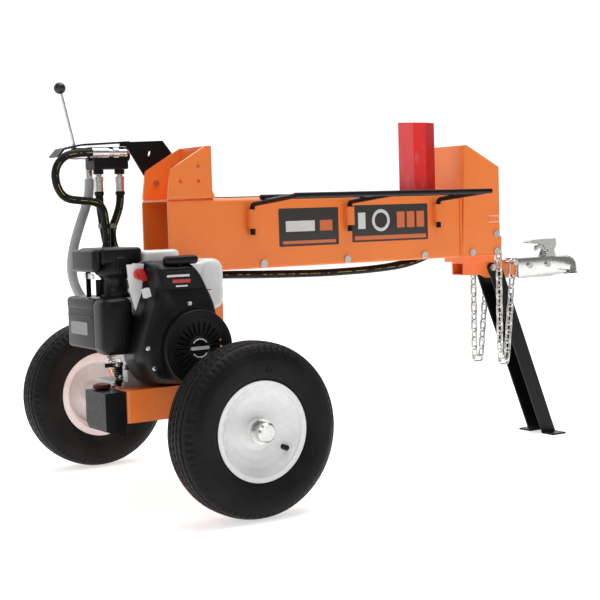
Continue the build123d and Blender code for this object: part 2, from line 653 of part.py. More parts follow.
with BuildPart() as valve_body:
    box((-140, -47), (66, 118), (812, 868))
    fillet(valve_body.edges().filter_by(Axis.X), 5)
    drum_x(VALVE_Y, SPOOL_Z, 12, -52, -34)
    drum_x(VALVE_Y, SPOOL_Z, 12, -148, -140)
    for x in WORK_PORTS:
        drum_z(x, VALVE_Y, 13, 800, 814)
    drum_y(PRESSURE_PORT_X, PORT_LINE[1], 12, 58, 68)
    drum_y(-126, 838, 13, 116, 122)
    # cheeks that carry the lever's pin
    for y0, y1 in ((VALVE_Y - 7, VALVE_Y - 4), (VALVE_Y + 4, VALVE_Y + 7)):
        box((-186, -139), (y0, y1), (854, 866))
        drum_y(*LEVER_PIVOT, 3.1, y0 - 1, y1 + 1, Mode.SUBTRACT)
    drum_x(VALVE_Y, SPOOL_Z, 8.05, -150, -38, Mode.SUBTRACT)
save(valve_body.part, "valve_body")

with BuildPart() as valve_spool:
    drum_x(VALVE_Y, SPOOL_Z, 8, -196, -46)
    for groove in (-118, -92, -66):
        drum_x(VALVE_Y, SPOOL_Z, 9, groove - 5, groove + 5, Mode.SUBTRACT)
        drum_x(VALVE_Y, SPOOL_Z, 5, groove - 5.1, groove + 5.1)
    box((-187, -171), (VALVE_Y - 3, VALVE_Y + 3), (830, 860), Mode.SUBTRACT)
save(valve_spool.part, "valve_spool")

with BuildPart() as valve_lever:
    drum_y(*LEVER_PIVOT, 6.5, VALVE_Y - 2.5, VALVE_Y + 2.5)
    box((LEVER_PIVOT[0] - 4, LEVER_PIVOT[0] + 4), (VALVE_Y - 2.5, VALVE_Y + 2.5), (838, 861))
    drum_y(*LEVER_PIVOT, 3, VALVE_Y - 9, VALVE_Y + 9)
    lever_foot = Vector(LEVER_PIVOT[0], VALVE_Y, LEVER_PIVOT[1] + 3)
    lever_top = Vector(KNOB_AT[0], VALVE_Y, KNOB_AT[1])
    rod_plane = Plane(origin=lever_foot, z_dir=lever_top - lever_foot)
    with BuildSketch(rod_plane):
        Circle(4)
    extrude(amount=(lever_top - lever_foot).length)
    with Locations(lever_top):
        Sphere(KNOB_R, mode=Mode.SUBTRACT)
save(valve_lever.part, "valve_lever")

with BuildPart() as lever_knob:
    with Locations((KNOB_AT[0], VALVE_Y, KNOB_AT[1])):
        Sphere(KNOB_R)
save(lever_knob.part, "lever_knob")

with BuildPart() as hydraulic_fittings:
    # pressure line: crimped ferrule, swivel nut and elbow into the valve's near face
    drum_x(*PORT_LINE, 12.5, -157, -112)
    drum_x(*PORT_LINE, 9, -112, -100)
    drum_x(*PORT_LINE, 13, -100, -86)
    drum_x(*PORT_LINE, 9, -86, -66)
    with Locations((PRESSURE_PORT_X, *PORT_LINE)):
        Sphere(10)
    drum_y(PRESSURE_PORT_X, PORT_LINE[1], 8, PORT_LINE[0], 58)
    # working ports: adaptor, swivel nut and crimped ferrule, one for each hose
    for x in WORK_PORTS:
        drum_z(x, VALVE_Y, 8, 792, 800)
        drum_z(x, VALVE_Y, 12.5, 782, 794)
        drum_z(x, VALVE_Y, 11.5, 757, 784)
    # return elbow behind the valve
    drum_y(-126, 838, 10, 122, RETURN_Y)
    drum_z(-126, RETURN_Y, 9.5, 790, 838)
    # hose ends in the ported block, at the pump and on the reservoir
    for y in (-12, 12):
        drum_x(y, 580, 11, 966, 1003)
    drum_z(CRANK_X, 100, 11.5, 440, 462)
    drum_z(*SUCTION_AT, 14, TANK_Z[1], 330)
    drum_z(*RETURN_AT, 13, TANK_Z[1], 318)
save(hydraulic_fittings.part, "hydraulic_fittings")

# ---------------------------------------------------------------- hoses
PRESSURE_ROUTE = ((CRANK_X, 100, 462), (CRANK_X, 100, 500), (-82, 99, 536), (-103, 94, 568),
                  (-117, 78, 600), (-110, 71, 632), (-115, 66, 676), (-120, 64, 712),
                  (-139, 62, 731), (-183, 59, 735), (-226, 54, 740), (-250, 47, 768),
                  (-256, 43, 808), (-238, 43, 838), (-206, *PORT_LINE), (-157, *PORT_LINE))
WORK_ROUTE_A = ((WORK_PORTS[0], VALVE_Y, 757), (WORK_PORTS[0], VALVE_Y, 728), (-114, 92, 694),
                (-109, 93, 660), (-103, 92, 622), (-88, 88, 584), (-63, 76, 556), (-34, 60, 537),
                (4, 38, 531), (52, 15, 530), (100, 2, 532), (158, -7, 535), (216, -12, 534),
                (274, -12, 531), (332, -11, 529), (390, -14, 527), (448, -11, 525),
                (506, -13, 524.5), (564, -11, 525), (622, -13, 526), (680, -11, 528),
                (738, -12, 532), (794, -11, 541), (842, -12, 556), (884, -12, 571),
                (926, -12, 580), (966, -12, 580))
WORK_ROUTE_B = ((WORK_PORTS[1], VALVE_Y, 757), (WORK_PORTS[1], VALVE_Y, 730), (-70, 94, 696),
                (-84, 98, 664), (-82, 101, 626), (-66, 97, 586), (-42, 87, 557), (-12, 71, 536),
                (20, 55, 531), (56, 43, 530), (104, 33, 531), (160, 26, 534), (218, 17, 532),
                (276, 12, 529), (334, 14, 527), (392, 11, 525.5), (450, 13, 524), (508, 11, 523),
                (566, 13, 523.5), (624, 11, 524.5), (682, 13, 527), (740, 12, 531.5),
                (796, 13, 541), (844, 12, 556), (886, 12, 571), (928, 12, 580), (966, 12, 580))
RETURN_ROUTE = ((-126, RETURN_Y, 790), (-126, RETURN_Y, 756), (-140, 130, 716), (-162, 126, 668),
                (-181, 121, 618), (-190, 120, 570), (-180, 128, 524), (-154, 139, 484),
                (-118, 147, 448), (-80, 151, 414), (-40, 154, 388), (*RETURN_AT, 352),
                (*RETURN_AT, 318))
save(hose(PRESSURE_ROUTE, PRESSURE_D, "pressure_hose"), "pressure_hose")
hose_a = hose(WORK_ROUTE_A, PRESSURE_D, "work hose A")
hose_b = hose(WORK_ROUTE_B, PRESSURE_D, "work hose B")
with BuildPart() as work_hoses:
    add(hose_a)
    add(hose_b)
save(work_hoses.part, "work_hoses")
save(hose(RETURN_ROUTE, RETURN_D, "return_hose"), "return_hose")


# ---------------------------------------------------------------- tongue, leg and coupler
with BuildPart() as tongue:
    plate_y(((961, 531), (961, 494), (1060, 491), (1082, 480), (1192, 478), (1192, 531)),
            -TONGUE_HALF, TONGUE_HALF)
    box((957, 1200), (-TONGUE_HALF + 4, TONGUE_HALF - 4), (497, 527), Mode.SUBTRACT)
    box((961, 1050), (-60, 60), (531, BEAM_Z[0]))
    for x, z, r in ((*LEG_PIVOT, 6), (1205 - 24, 511, 5), (*CHAIN_BAR, 5)):
        drum_y(x, z, r, -30, 30, Mode.SUBTRACT)
save(tongue.part, "tongue")

with BuildPart() as stand_leg:
    # channel that straddles the tongue, open to the rear, with a turned-out foot on each cheek
    foot_rear, foot_front = LEG_REAR_FOOT, LEG_REAR_FOOT + LEG_FOOT_LEN
    ear_z = LEG_PIVOT[1]
    rear_top = foot_rear - LEG_LEAN * ear_z
    front_top = foot_front - LEG_LEAN * ear_z
    for label, side in SIDES:
        y0, y1 = side_span(side, TONGUE_HALF + 0.5, TONGUE_HALF + 0.5 + LEG_T)
        plate_y(((foot_rear, 0), (foot_front, 0), (front_top, ear_z), (rear_top, ear_z)), y0, y1)
        drum_y(LEG_PIVOT[0], LEG_PIVOT[1], 14, y0, y1)
        drum_y(LEG_PIVOT[0], LEG_PIVOT[1], 6.1, y0 - 1, y1 + 1, Mode.SUBTRACT)
        y0, y1 = side_span(side, TONGUE_HALF + 0.5, 75)
        box((foot_rear, foot_front), (y0, y1), (0, LEG_T))
    web_z = 462.0
    web_top = foot_front - LEG_LEAN * web_z
    web_t = LEG_T * 1.08
    plate_y(((foot_front - web_t, 0), (foot_front, 0), (web_top, web_z), (web_top - web_t, web_z)),
            -TONGUE_HALF - 1, TONGUE_HALF + 1)
save(stand_leg.part, "stand_leg")

with BuildPart() as coupler:
    coupler_top, skirt_low = 534.0, 475.0
    with BuildSketch(Plane.XY.offset(skirt_low)):
        with BuildLine():
            Polyline((1168, -29.5), (1320, -29.5), (1362, -35), (BALL_AT[0], -36))
            ThreePointArc((BALL_AT[0], -36), (BALL_AT[0] + 36, 0), (BALL_AT[0], 36))
            Polyline((BALL_AT[0], 36), (1362, 35), (1320, 29.5), (1168, 29.5), (1168, -29.5))
        make_face()
    extrude(amount=coupler_top - skirt_low)
    fillet(coupler.edges().group_by(Axis.Z)[-1], 9)
    # the channel behind the socket
    box((1160, 1345), (-26.3, 26.3), (470, 531.2), Mode.SUBTRACT)
    # the skirt is cut away under the nose, leaving a turned-out lip
    box((1304, 1450), (-40, 40), (470, 480), Mode.SUBTRACT)
    with BuildSketch(Plane.XY.offset(480)):
        with BuildLine():
            Polyline((1306, -34), (1362, -43), (BALL_AT[0], -43))
            ThreePointArc((BALL_AT[0], -43), (BALL_AT[0] + 43, 0), (BALL_AT[0], 43))
            Polyline((BALL_AT[0], 43), (1362, 43), (1306, 34), (1306, -34))
        make_face()
    extrude(amount=4)
    box((1300, 1345), (-26.3, 26.3), (470, 530), Mode.SUBTRACT)
    with Locations((BALL_AT[0], 0, BALL_AT[1])):
        Sphere(BALL_R + 0.4, mode=Mode.SUBTRACT)
    drum_z(BALL_AT[0], 0, BALL_R + 0.4, 470, BALL_AT[1], Mode.SUBTRACT)
    # lugs that carry the latch
    for y0, y1 in ((-19, -16), (16, 19)):
        plate_y(((1290, 532), (1332, 532), (1322, 556), (1300, 556)), y0, y1)
        drum_y(*LATCH_PIVOT, 4, y0 - 1, y1 + 1, Mode.SUBTRACT)
    for x, z in ((1212, 511), (1284, 511)):
        drum_y(x, z, 5.2, -31, 31, Mode.SUBTRACT)
save(coupler.part, "coupler")

with BuildPart() as coupler_latch:
    latch_side = ((1224, 581), (1240, 586), (1334, 588), (1336, 568), (1318, 538), (1304, 538),
                  (1284, 572), (1228, 577))
    for y0, y1 in ((-15, -12), (12, 15)):
        plate_y(latch_side, y0, y1)
    plate_y(((1222, 580), (1240, 586), (1334, 588), (1334, 585), (1240, 582)), -15, 15)
    drum_y(*LATCH_PIVOT, 3.9, -21, 21)
    drum_y(*TRIGGER_PIVOT, 3, -15, 15)
save(coupler_latch.part, "coupler_latch")

with BuildPart() as latch_trigger:
    plate_y(((1250, 556), (1256, 560), (1266, 568), (1290, 570), (1304, 566), (1304, 556),
             (1290, 552), (1272, 562), (1258, 552)), -10, 10)
    drum_y(*TRIGGER_PIVOT, 3.05, -11, 11, Mode.SUBTRACT)
save(latch_trigger.part, "latch_trigger")


# ---------------------------------------------------------------- fasteners of the frame
def round_head_bolt(x, z, y_face, side, grip):
    """Carriage bolt through a wall: a domed head outside and a shank inwards."""
    y0, y1 = sorted((y_face, y_face - side * grip))
    drum_y(x, z, 4.5, y0, y1)
    y0, y1 = sorted((y_face, y_face + side * 5))
    drum_y(x, z, 10, y0, y1)


def hex_bolt(x, z, y_near, y_far, radius, head):
    """A bolt right through, with a hexagon at both ends."""
    drum_y(x, z, radius, y_near, y_far)
    for y0, y1 in ((y_near - head, y_near), (y_far, y_far + head)):
        with BuildSketch(Plane.XZ.offset(-y0)) as head_outline:
            with Locations((x, z)):
                RegularPolygon(radius * 1.8, 6)
        extrude(head_outline.sketch, amount=-(y1 - y0))


with BuildPart() as frame_bolts:
    for label, side in SIDES:
        for x in SKIRT_BOLTS:
            round_head_bolt(x, 561, side * BEAM_HALF, side, 9)
        for x, z in SIDE_BOLTS:
            round_head_bolt(x, z, side * (BEAM_HALF + SIDE_PLATE_T), side, 15)
    # valve bracket on the far gusset
    for x, z in (GUSSET_HOLES[0], GUSSET_HOLES[2]):
        hex_bolt(x, z, BEAM_HALF - GUSSET_T, BEAM_HALF + 5, 4.8, 6)
    # leg pivot, coupler bolts and the cross bar that the safety chains are shackled to
    hex_bolt(*LEG_PIVOT, -TONGUE_HALF - 6, TONGUE_HALF + 6, 6, 6)
    for x in (1212, 1284):
        hex_bolt(x, 511, -29.5, 29.5, 5, 7)
    drum_y(*CHAIN_BAR, 5, -68, 68)
    for y0, y1 in ((-72, -68), (68, 72)):
        drum_y(*CHAIN_BAR, 9, y0, y1)
save(frame_bolts.part, "frame_bolts")


# ---------------------------------------------------------------- safety chains
def link_solid(centre, direction, across, straight, bend, wire):
    """A round-wire oval link as a closed solid."""
    normal = across.cross(direction).normalized()
    frame = Plane(origin=centre, x_dir=direction, z_dir=normal)
    with BuildPart() as link:
        with BuildLine(frame) as oval:
            low = Line((-straight / 2, -bend), (straight / 2, -bend))
            right = ThreePointArc(low @ 1, (straight / 2 + bend, 0), (straight / 2, bend))
            high = Line(right @ 1, (-straight / 2, bend))
            ThreePointArc(high @ 1, (-straight / 2 - bend, 0), low @ 0)
        start = frame.from_local_coords(Vector(0, -bend, 0))
        with BuildSketch(Plane(origin=start, z_dir=direction)):
            Circle(wire / 2)
        sweep(path=oval.line)
    return link.part


def chain(side):
    """Two hanging strands joined by a level link at the bottom: one shackled, one hooked back."""
    y = side * CHAIN_Y
    upright = Vector(0, 1, 0)
    half = CHAIN_STRAIGHT / 2 + CHAIN_BEND_R
    longest_pitch = 2 * half - CHAIN_WIRE - 0.4
    low_x, low_z = CHAIN_LOW
    links = [link_solid(Vector(low_x, y, low_z), Vector(1, 0, 0), Vector(0, 0, 1),
                        CHAIN_STRAIGHT, CHAIN_BEND_R, CHAIN_WIRE)]
    shackle_half, shackle_hang = SHACKLE_STRAIGHT / 2 + SHACKLE_BEND_R, 10.0
    for top, low_offset, shackled in ((CHAIN_BAR, 12, True), (CHAIN_LUG, -12, False)):
        start = Vector(top[0], y, top[1])
        low = Vector(low_x + low_offset, y, low_z)
        down = (low - start).normalized()
        flat = upright.cross(down).normalized()
        first = half
        if shackled:
            links.append(link_solid(start + down * (shackle_half - shackle_hang), down, flat,
                                    SHACKLE_STRAIGHT, SHACKLE_BEND_R, SHACKLE_WIRE))
            first = 2 * shackle_half - shackle_hang - SHACKLE_WIRE + half - 0.4
        span = (low - start).length - half - first
        steps = int(span / longest_pitch) + 1
        steps += steps % 2
        for k in range(steps + 1):
            across = upright if k % 2 == 0 else flat
            centre = start + down * (first + span * k / steps)
            links.append(link_solid(centre, down, across, CHAIN_STRAIGHT, CHAIN_BEND_R, CHAIN_WIRE))
    return Compound(children=links)


for label, side in SIDES:
    save(chain(side), f"{label}_chain")
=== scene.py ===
"""Looks of the towable log splitter.

In order: camera, materials, mesh helpers, hoses, tyres, caps, engine, coupler, decals, welds, stage
and light. Places and sizes are in millimetres unless a comment says otherwise.
"""
import json
from math import cos, pi, radians, sin

import bmesh
import bpy
from mathutils import Matrix, Vector


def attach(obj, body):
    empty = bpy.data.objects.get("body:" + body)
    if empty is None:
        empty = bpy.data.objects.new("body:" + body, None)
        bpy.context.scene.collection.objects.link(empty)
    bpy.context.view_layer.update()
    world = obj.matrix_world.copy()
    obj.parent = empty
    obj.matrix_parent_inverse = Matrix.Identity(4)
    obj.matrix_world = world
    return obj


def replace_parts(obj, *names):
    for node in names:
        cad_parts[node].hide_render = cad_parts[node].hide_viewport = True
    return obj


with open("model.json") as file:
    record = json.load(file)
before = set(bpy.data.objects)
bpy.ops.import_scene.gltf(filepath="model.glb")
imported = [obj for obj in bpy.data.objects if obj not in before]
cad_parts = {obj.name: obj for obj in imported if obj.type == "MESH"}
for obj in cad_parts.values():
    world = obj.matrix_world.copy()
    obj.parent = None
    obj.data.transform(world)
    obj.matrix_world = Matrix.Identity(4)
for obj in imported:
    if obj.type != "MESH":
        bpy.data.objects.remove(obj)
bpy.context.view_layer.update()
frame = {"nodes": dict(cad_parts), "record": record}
nodes = frame["nodes"]

MM = 0.001
MIDDLE = 571.5              # middle of the machine, in millimetres in front of the axle
SIDES = (("near", -1), ("far", 1))

# main places, from the axle line, the middle plane and the ground
CRANK = (-67, 386)          # x and z of the crankshaft, which runs along Y
SHROUD_FACE = -300          # front face of the blower housing
RECOIL_FACE = SHROUD_FACE - 17
SHROUD_MIDDLE = (-92, 430)  # x and z the housing's outline shrinks towards
MUFFLER_AT = (-202, -158)   # x and y of these upright axes
FUEL_NECK_AT = (-100, -102)
FILLER_AT = (-250, -172)
DIPSTICK_AT = (-180, -182)
VALVE_PORTS = ((-118, 92), (-60, 92))
SWITCH_AT = (-176, 560)     # x and z of the switch knob, which turns about Y
WHEEL_Y, WHEEL_Z = 431, 203
BEAM_SIDE = 73
TOP_WELD_Z, FOOT_WELD_Z = 733, 551      # along the beam's top face and its low edge
LEFT_WELD_X, RIGHT_WELD_X = 104, 943    # along the feet of the two push plates
SOCKET_X = (223, 525, 826)
PRESSURE_D, RETURN_D = 20, 24
BALL_X = 1380               # middle of the coupler's ball housing
COUPLER_TOP, COUPLER_LOW = 534, 481
COUPLER_WALL = 3.0

# strengths of the stage and its lights: name, place and size in metres, power in watts
SWEEP_GLOW = 0.60
WORLD_LIGHT = 0.22
LIGHTS = (("overhead", (0.1, -0.2, 3.6), 3.0, 98),
          ("key", (-2.6, -2.4, 2.3), 1.6, 14),
          ("rear", (0.6, 2.6, 2.6), 2.0, 10))
LIGHT_TARGET = (0, 0, 0.45)

# sockets of a Mix node that carry colours
MIX_FIRST, MIX_SECOND, MIX_RESULT = 6, 7, 2


def at(x, y, z):
    """A point given in the machine's millimetres, in the row frame's metres."""
    return Vector(((x - MIDDLE) * MM, y * MM, z * MM))


# ---------------------------------------------------------------- camera
CAMERA_AT = (-1547.9, -3058.2, 698.8)
CAMERA_YAW, CAMERA_PITCH, CAMERA_ROLL = 32.685, -3.844, -1.661    # degrees
CAMERA_LENS = 81.3


def make_camera():
    """A nearly level telephoto view onto the near side from the engine end."""
    yaw, pitch, roll = radians(CAMERA_YAW), radians(CAMERA_PITCH), radians(CAMERA_ROLL)
    forward = Vector((sin(yaw) * cos(pitch), cos(yaw) * cos(pitch), sin(pitch)))
    level_right = Vector((cos(yaw), -sin(yaw), 0))
    level_up = level_right.cross(forward)
    right = level_right * cos(roll) + level_up * sin(roll)
    up = level_up * cos(roll) - level_right * sin(roll)
    data = bpy.data.cameras.new("camera")
    data.lens = CAMERA_LENS
    data.sensor_width = 36
    data.clip_end = 50
    camera = bpy.data.objects.new("camera", data)
    bpy.context.scene.collection.objects.link(camera)
    facing = Matrix((right, up, -forward)).transposed().to_4x4()
    camera.matrix_world = Matrix.Translation(at(*CAMERA_AT)) @ facing
    bpy.context.scene.camera = camera


make_camera()


# ---------------------------------------------------------------- material parts
def tint(colour, factor):
    """A colour made lighter or darker, with alpha."""
    return tuple(min(1.0, c * factor) for c in colour) + (1,)


class Surface:
    """A procedural material in object space, built up layer by layer."""

    def __init__(self, name, colour, roughness, metallic=0.0, variation=0.12, scale=9.0):
        self.material = bpy.data.materials.new(name)
        self.material.use_nodes = True
        self.material.diffuse_color = tint(colour, 1)
        self.tree = self.material.node_tree
        self.shader = self.tree.nodes["Principled BSDF"]
        self.coords = self.add("ShaderNodeTexCoord").outputs["Object"]
        self.shader.inputs["Metallic"].default_value = metallic
        cloud = self.noise(scale, detail=6)
        self.colour = self.blend(cloud, tint(colour, 1 - variation), tint(colour, 1 + variation))
        grain = self.noise(scale * 12, detail=4)
        self.rough = self.spread(grain, roughness * 0.8, min(1.0, roughness * 1.25))
        self.bevel = None

    def add(self, kind, **settings):
        """A new shader node with some of its settings changed."""
        node = self.tree.nodes.new(kind)
        for key, value in settings.items():
            setattr(node, key, value)
        return node

    def wire(self, source, target):
        """Link an output socket to an input socket."""
        self.tree.links.new(source, target)

    def noise(self, scale, detail=3, stretch=None, distortion=0.0):
        """Cloudy noise between 0 and 1, fixed to the object."""
        node = self.add("ShaderNodeTexNoise")
        node.inputs["Scale"].default_value = scale
        node.inputs["Detail"].default_value = detail
        node.inputs["Distortion"].default_value = distortion
        source = self.coords
        if stretch:
            mapping = self.add("ShaderNodeMapping")
            mapping.inputs["Scale"].default_value = stretch
            self.wire(self.coords, mapping.inputs["Vector"])
            source = mapping.outputs["Vector"]
        self.wire(source, node.inputs["Vector"])
        return node.outputs["Fac"]

    def spread(self, value, low, high, start=0.3, end=0.7):
        """Carry a value that runs from start to end over to low to high."""
        node = self.add("ShaderNodeMapRange")
        self.wire(value, node.inputs["Value"])
        for socket, number in zip(("From Min", "From Max", "To Min", "To Max"), (start, end, low, high)):
            node.inputs[socket].default_value = number
        return node.outputs["Result"]

    def blend(self, factor, first, second):
        """Mix two colours, each a tuple or a socket."""
        node = self.add("ShaderNodeMix", data_type="RGBA")
        self.wire(factor, node.inputs["Factor"])
        for socket, value in ((MIX_FIRST, first), (MIX_SECOND, second)):
            if isinstance(value, tuple):
                node.inputs[socket].default_value = value
            else:
                self.wire(value, node.inputs[socket])
        return node.outputs[MIX_RESULT]

    def combine(self, operation, first, second):
        """One step of arithmetic on two numbers or sockets."""
        node = self.add("ShaderNodeMath", operation=operation)
        for socket, value in zip(node.inputs, (first, second)):
            if isinstance(value, (int, float)):
                socket.default_value = value
            else:
                self.wire(value, socket)
        return node.outputs["Value"]

    def mark(self, mask, colour, roughness=None):
        """Lay another colour over the surface where the mask is 1."""
        self.colour = self.blend(mask, self.colour, tint(colour, 1))
        if roughness is not None:
            keep = self.combine("MULTIPLY", self.rough, self.combine("SUBTRACT", 1.0, mask))
            self.rough = self.combine("ADD", keep, self.combine("MULTIPLY", mask, roughness))

    def worn_edges(self, colour, amount=0.55, radius=2.5):
        """Thin rubbed paint along the outside edges, broken up by noise."""
        self.bevel = self.add("ShaderNodeBevel", samples=4)
        self.bevel.inputs["Radius"].default_value = radius * MM
        geometry = self.add("ShaderNodeNewGeometry")
        dot = self.add("ShaderNodeVectorMath", operation="DOT_PRODUCT")
        self.wire(self.bevel.outputs["Normal"], dot.inputs[0])
        self.wire(geometry.outputs["Normal"], dot.inputs[1])
        edge = self.spread(dot.outputs["Value"], 1.0, 0.0, 0.80, 0.985)
        broken = self.spread(self.noise(60, detail=5), 0.0, amount, 0.42, 0.62)
        self.mark(self.combine("MULTIPLY", edge, broken), colour)

    def scratches(self, colour, amount, stretch, threshold=0.66):
        """Fine streaks, drawn out along the axes with the smaller stretch."""
        streak = self.noise(30, detail=6, stretch=stretch)
        self.mark(self.spread(streak, 0.0, amount, threshold, threshold + 0.06), colour, 0.6)

    def bump(self, scale, distance, detail=4, stretch=None):
        """Fine relief, with its depth in millimetres, on top of any rounded edges."""
        node = self.add("ShaderNodeBump")
        node.inputs["Strength"].default_value = 0.6
        node.inputs["Distance"].default_value = distance * MM
        self.wire(self.noise(scale, detail=detail, stretch=stretch), node.inputs["Height"])
        if self.bevel:
            self.wire(self.bevel.outputs["Normal"], node.inputs["Normal"])
        self.wire(node.outputs["Normal"], self.shader.inputs["Normal"])

    def done(self, coat=0.0, specular=0.5):
        """Join the layers to the shader and hand over the material."""
        self.wire(self.colour, self.shader.inputs["Base Color"])
        self.wire(self.rough, self.shader.inputs["Roughness"])
        self.shader.inputs["Coat Weight"].default_value = coat
        self.shader.inputs["Specular IOR Level"].default_value = specular
        return self.material


def paint(name, colour, roughness, coat, wear, amount, specular=0.5):
    """Sprayed or powder-coated steel with orange-peel and rubbed edges."""
    made = Surface(name, colour, roughness, variation=0.07, scale=5)
    made.worn_edges(wear, amount)
    made.scratches(tint(colour, 1.35)[:3], 0.35, (1, 6, 6))
    made.bump(260, 0.12)
    return made.done(coat, specular)


def bare_metal(name, colour, roughness, brushed=(1, 1, 30), spots=0.35):
    """Plated or machined metal with a directional grain and cloudy patches."""
    made = Surface(name, colour, roughness, metallic=1.0, variation=0.16, scale=14)
    cloud = made.noise(35, detail=8, distortion=0.6)
    made.mark(made.spread(cloud, 0.0, spots, 0.5, 0.7), tint(colour, 0.62)[:3], roughness * 1.5)
    made.bump(90, 0.05, stretch=brushed)
    return made.done()


def cast_metal(name, colour):
    """Sand- or die-cast aluminium: dull, grainy and darker in patches."""
    made = Surface(name, colour, 0.55, metallic=0.75, variation=0.2, scale=18)
    made.worn_edges(tint(colour, 1.3)[:3], 0.4, 1.5)
    made.bump(420, 0.5, detail=6)
    return made.done()


def moulded(name, colour, roughness, grain, depth, coat=0.0):
    """Moulded plastic with a fine texture and paler rubbed edges."""
    made = Surface(name, colour, roughness, variation=0.12, scale=20)
    made.worn_edges(tint(colour, 2.2)[:3], 0.3, 1.2)
    made.bump(grain, depth)
    return made.done(coat, 0.22)


def rubber(name, colour, roughness, dust, amount):
    """Rubber with a dusty bloom and fine pores."""
    made = Surface(name, colour, roughness, variation=0.15, scale=25)
    cloud = made.noise(16, detail=8, distortion=0.4)
    made.mark(made.spread(cloud, 0.0, amount, 0.45, 0.75), dust, 0.85)
    made.bump(700, 0.12)
    return made.done(0.0, 0.16)


def wedge_paint():
    """Red paint that wood has rubbed pink on the low part of the working facets, with painted shade on one
    facet.
    """
    made = Surface("wedge_red", (0.82, 0.020, 0.020), 0.36, variation=0.08, scale=12)
    made.worn_edges((0.75, 0.50, 0.48), 0.55, 2)
    streak = made.noise(26, detail=8, stretch=(1.4, 1, 0.5), distortion=1.2)
    axes = made.add("ShaderNodeSeparateXYZ")
    made.wire(made.coords, axes.inputs["Vector"])
    low = made.spread(axes.outputs["Z"], 1.0, 0.12, 0.79, 0.90)
    rubbed = made.combine("MULTIPLY", made.spread(streak, 0.0, 0.45, 0.52, 0.70), low)
    made.mark(rubbed, (0.70, 0.26, 0.25), 0.55)
    made.scratches((0.72, 0.40, 0.38), 0.3, (0.4, 0.4, 5))
    # the two long facets differ: the one facing -X is rubbed chalky, and the one facing +X is painted a
    # darker deep red, a painted shade
    facing = made.add("ShaderNodeSeparateXYZ")
    geometry = made.add("ShaderNodeNewGeometry")
    made.wire(geometry.outputs["Normal"], facing.inputs["Vector"])
    chalky = made.spread(facing.outputs["X"], 0.38, 0.0, -0.25, -0.12)
    made.mark(chalky, (0.80, 0.20, 0.21))
    # painted shade: a darker red laid on the facet that faces +X, away from the key light
    shaded_facet = made.spread(facing.outputs["X"], 0.0, 0.6, 0.12, 0.25)
    made.mark(shaded_facet, (0.40, 0.006, 0.012))
    made.bump(160, 0.3)
    return made.done(0.1)


MATERIALS = {
    "orange_paint": paint("orange_powder_coat", (0.92, 0.220, 0.036), 0.36, coat=0.25,
                          wear=(0.78, 0.26, 0.09), amount=0.35),
    "red_paint": wedge_paint(),
    "black_paint": paint("black_powder_coat", (0.005, 0.005, 0.006), 0.36, coat=0.0,
                         wear=(0.05, 0.05, 0.05), amount=0.35, specular=0.2),
    "white_paint": paint("white_enamel", (0.82, 0.82, 0.82), 0.25, coat=0.4,
                         wear=(0.66, 0.65, 0.64), amount=0.12),
    "zinc": bare_metal("bright_zinc", (0.68, 0.68, 0.66), 0.24, spots=0.22),
    "steel": bare_metal("oiled_steel", (0.34, 0.33, 0.32), 0.42, brushed=(1, 25, 25)),
    "chrome": bare_metal("hard_chrome", (0.78, 0.78, 0.79), 0.12, brushed=(40, 1, 1), spots=0.1),
    "cast_aluminium": cast_metal("die_cast", (0.50, 0.50, 0.50)),
    "tyre_rubber": rubber("tyre_compound", (0.005, 0.005, 0.0055), 0.48,
                          dust=(0.022, 0.021, 0.021), amount=0.55),
    "hose_rubber": rubber("hose_cover", (0.006, 0.006, 0.006), 0.4,
                          dust=(0.018, 0.018, 0.018), amount=0.2),
    "return_hose_rubber": rubber("grey_return_hose", (0.36, 0.375, 0.39), 0.38,
                                 dust=(0.45, 0.46, 0.47), amount=0.35),
    "black_plastic": moulded("black_moulding", (0.0055, 0.0055, 0.0065), 0.33, grain=500, depth=0.15),
    "red_plastic": moulded("red_moulding", (0.52, 0.022, 0.018), 0.35, grain=350, depth=0.1, coat=0.3),
    "maroon_plastic": moulded("maroon_moulding", (0.11, 0.012, 0.012), 0.4, grain=350, depth=0.1),
    "knob_plastic": moulded("knob_moulding", (0.012, 0.012, 0.013), 0.16, grain=200, depth=0.05, coat=0.5),
}

for entry in frame["record"]["subparts"]:
    node = nodes[entry["node"]]
    node.data.materials.clear()
    node.data.materials.append(MATERIALS[entry["material_slot"]])


# ---------------------------------------------------------------- mesh helpers
def piece(name, mesh, slot, body, smooth=True, material=None):
    """Link a finished mesh or curve, give it its finish and let it ride on its body."""
    made = bpy.data.objects.new(name, mesh)
    bpy.context.scene.collection.objects.link(made)
    mesh.materials.append(material or MATERIALS[slot])
    if smooth and isinstance(mesh, bpy.types.Mesh):
        mesh.shade_smooth()
    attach(made, body)
    return made


def grid_mesh(name, rows, closed_u=True, closed_v=True):
    """A quad mesh through rows of points; u runs along a row and v from row to row."""
    count_v, count_u = len(rows), len(rows[0])
    verts = [point for row in rows for point in row]
    faces = []
    for v in range(count_v if closed_v else count_v - 1):
        for u in range(count_u if closed_u else count_u - 1):
            up, right = (v + 1) % count_v, (u + 1) % count_u
            faces.append((v * count_u + u, v * count_u + right, up * count_u + right, up * count_u + u))
    mesh = bpy.data.meshes.new(name)
    mesh.from_pydata(verts, [], faces)
    shaper = bmesh.new()
    shaper.from_mesh(mesh)
    bmesh.ops.recalc_face_normals(shaper, faces=shaper.faces)
    shaper.to_mesh(mesh)
    shaper.free()
    return mesh


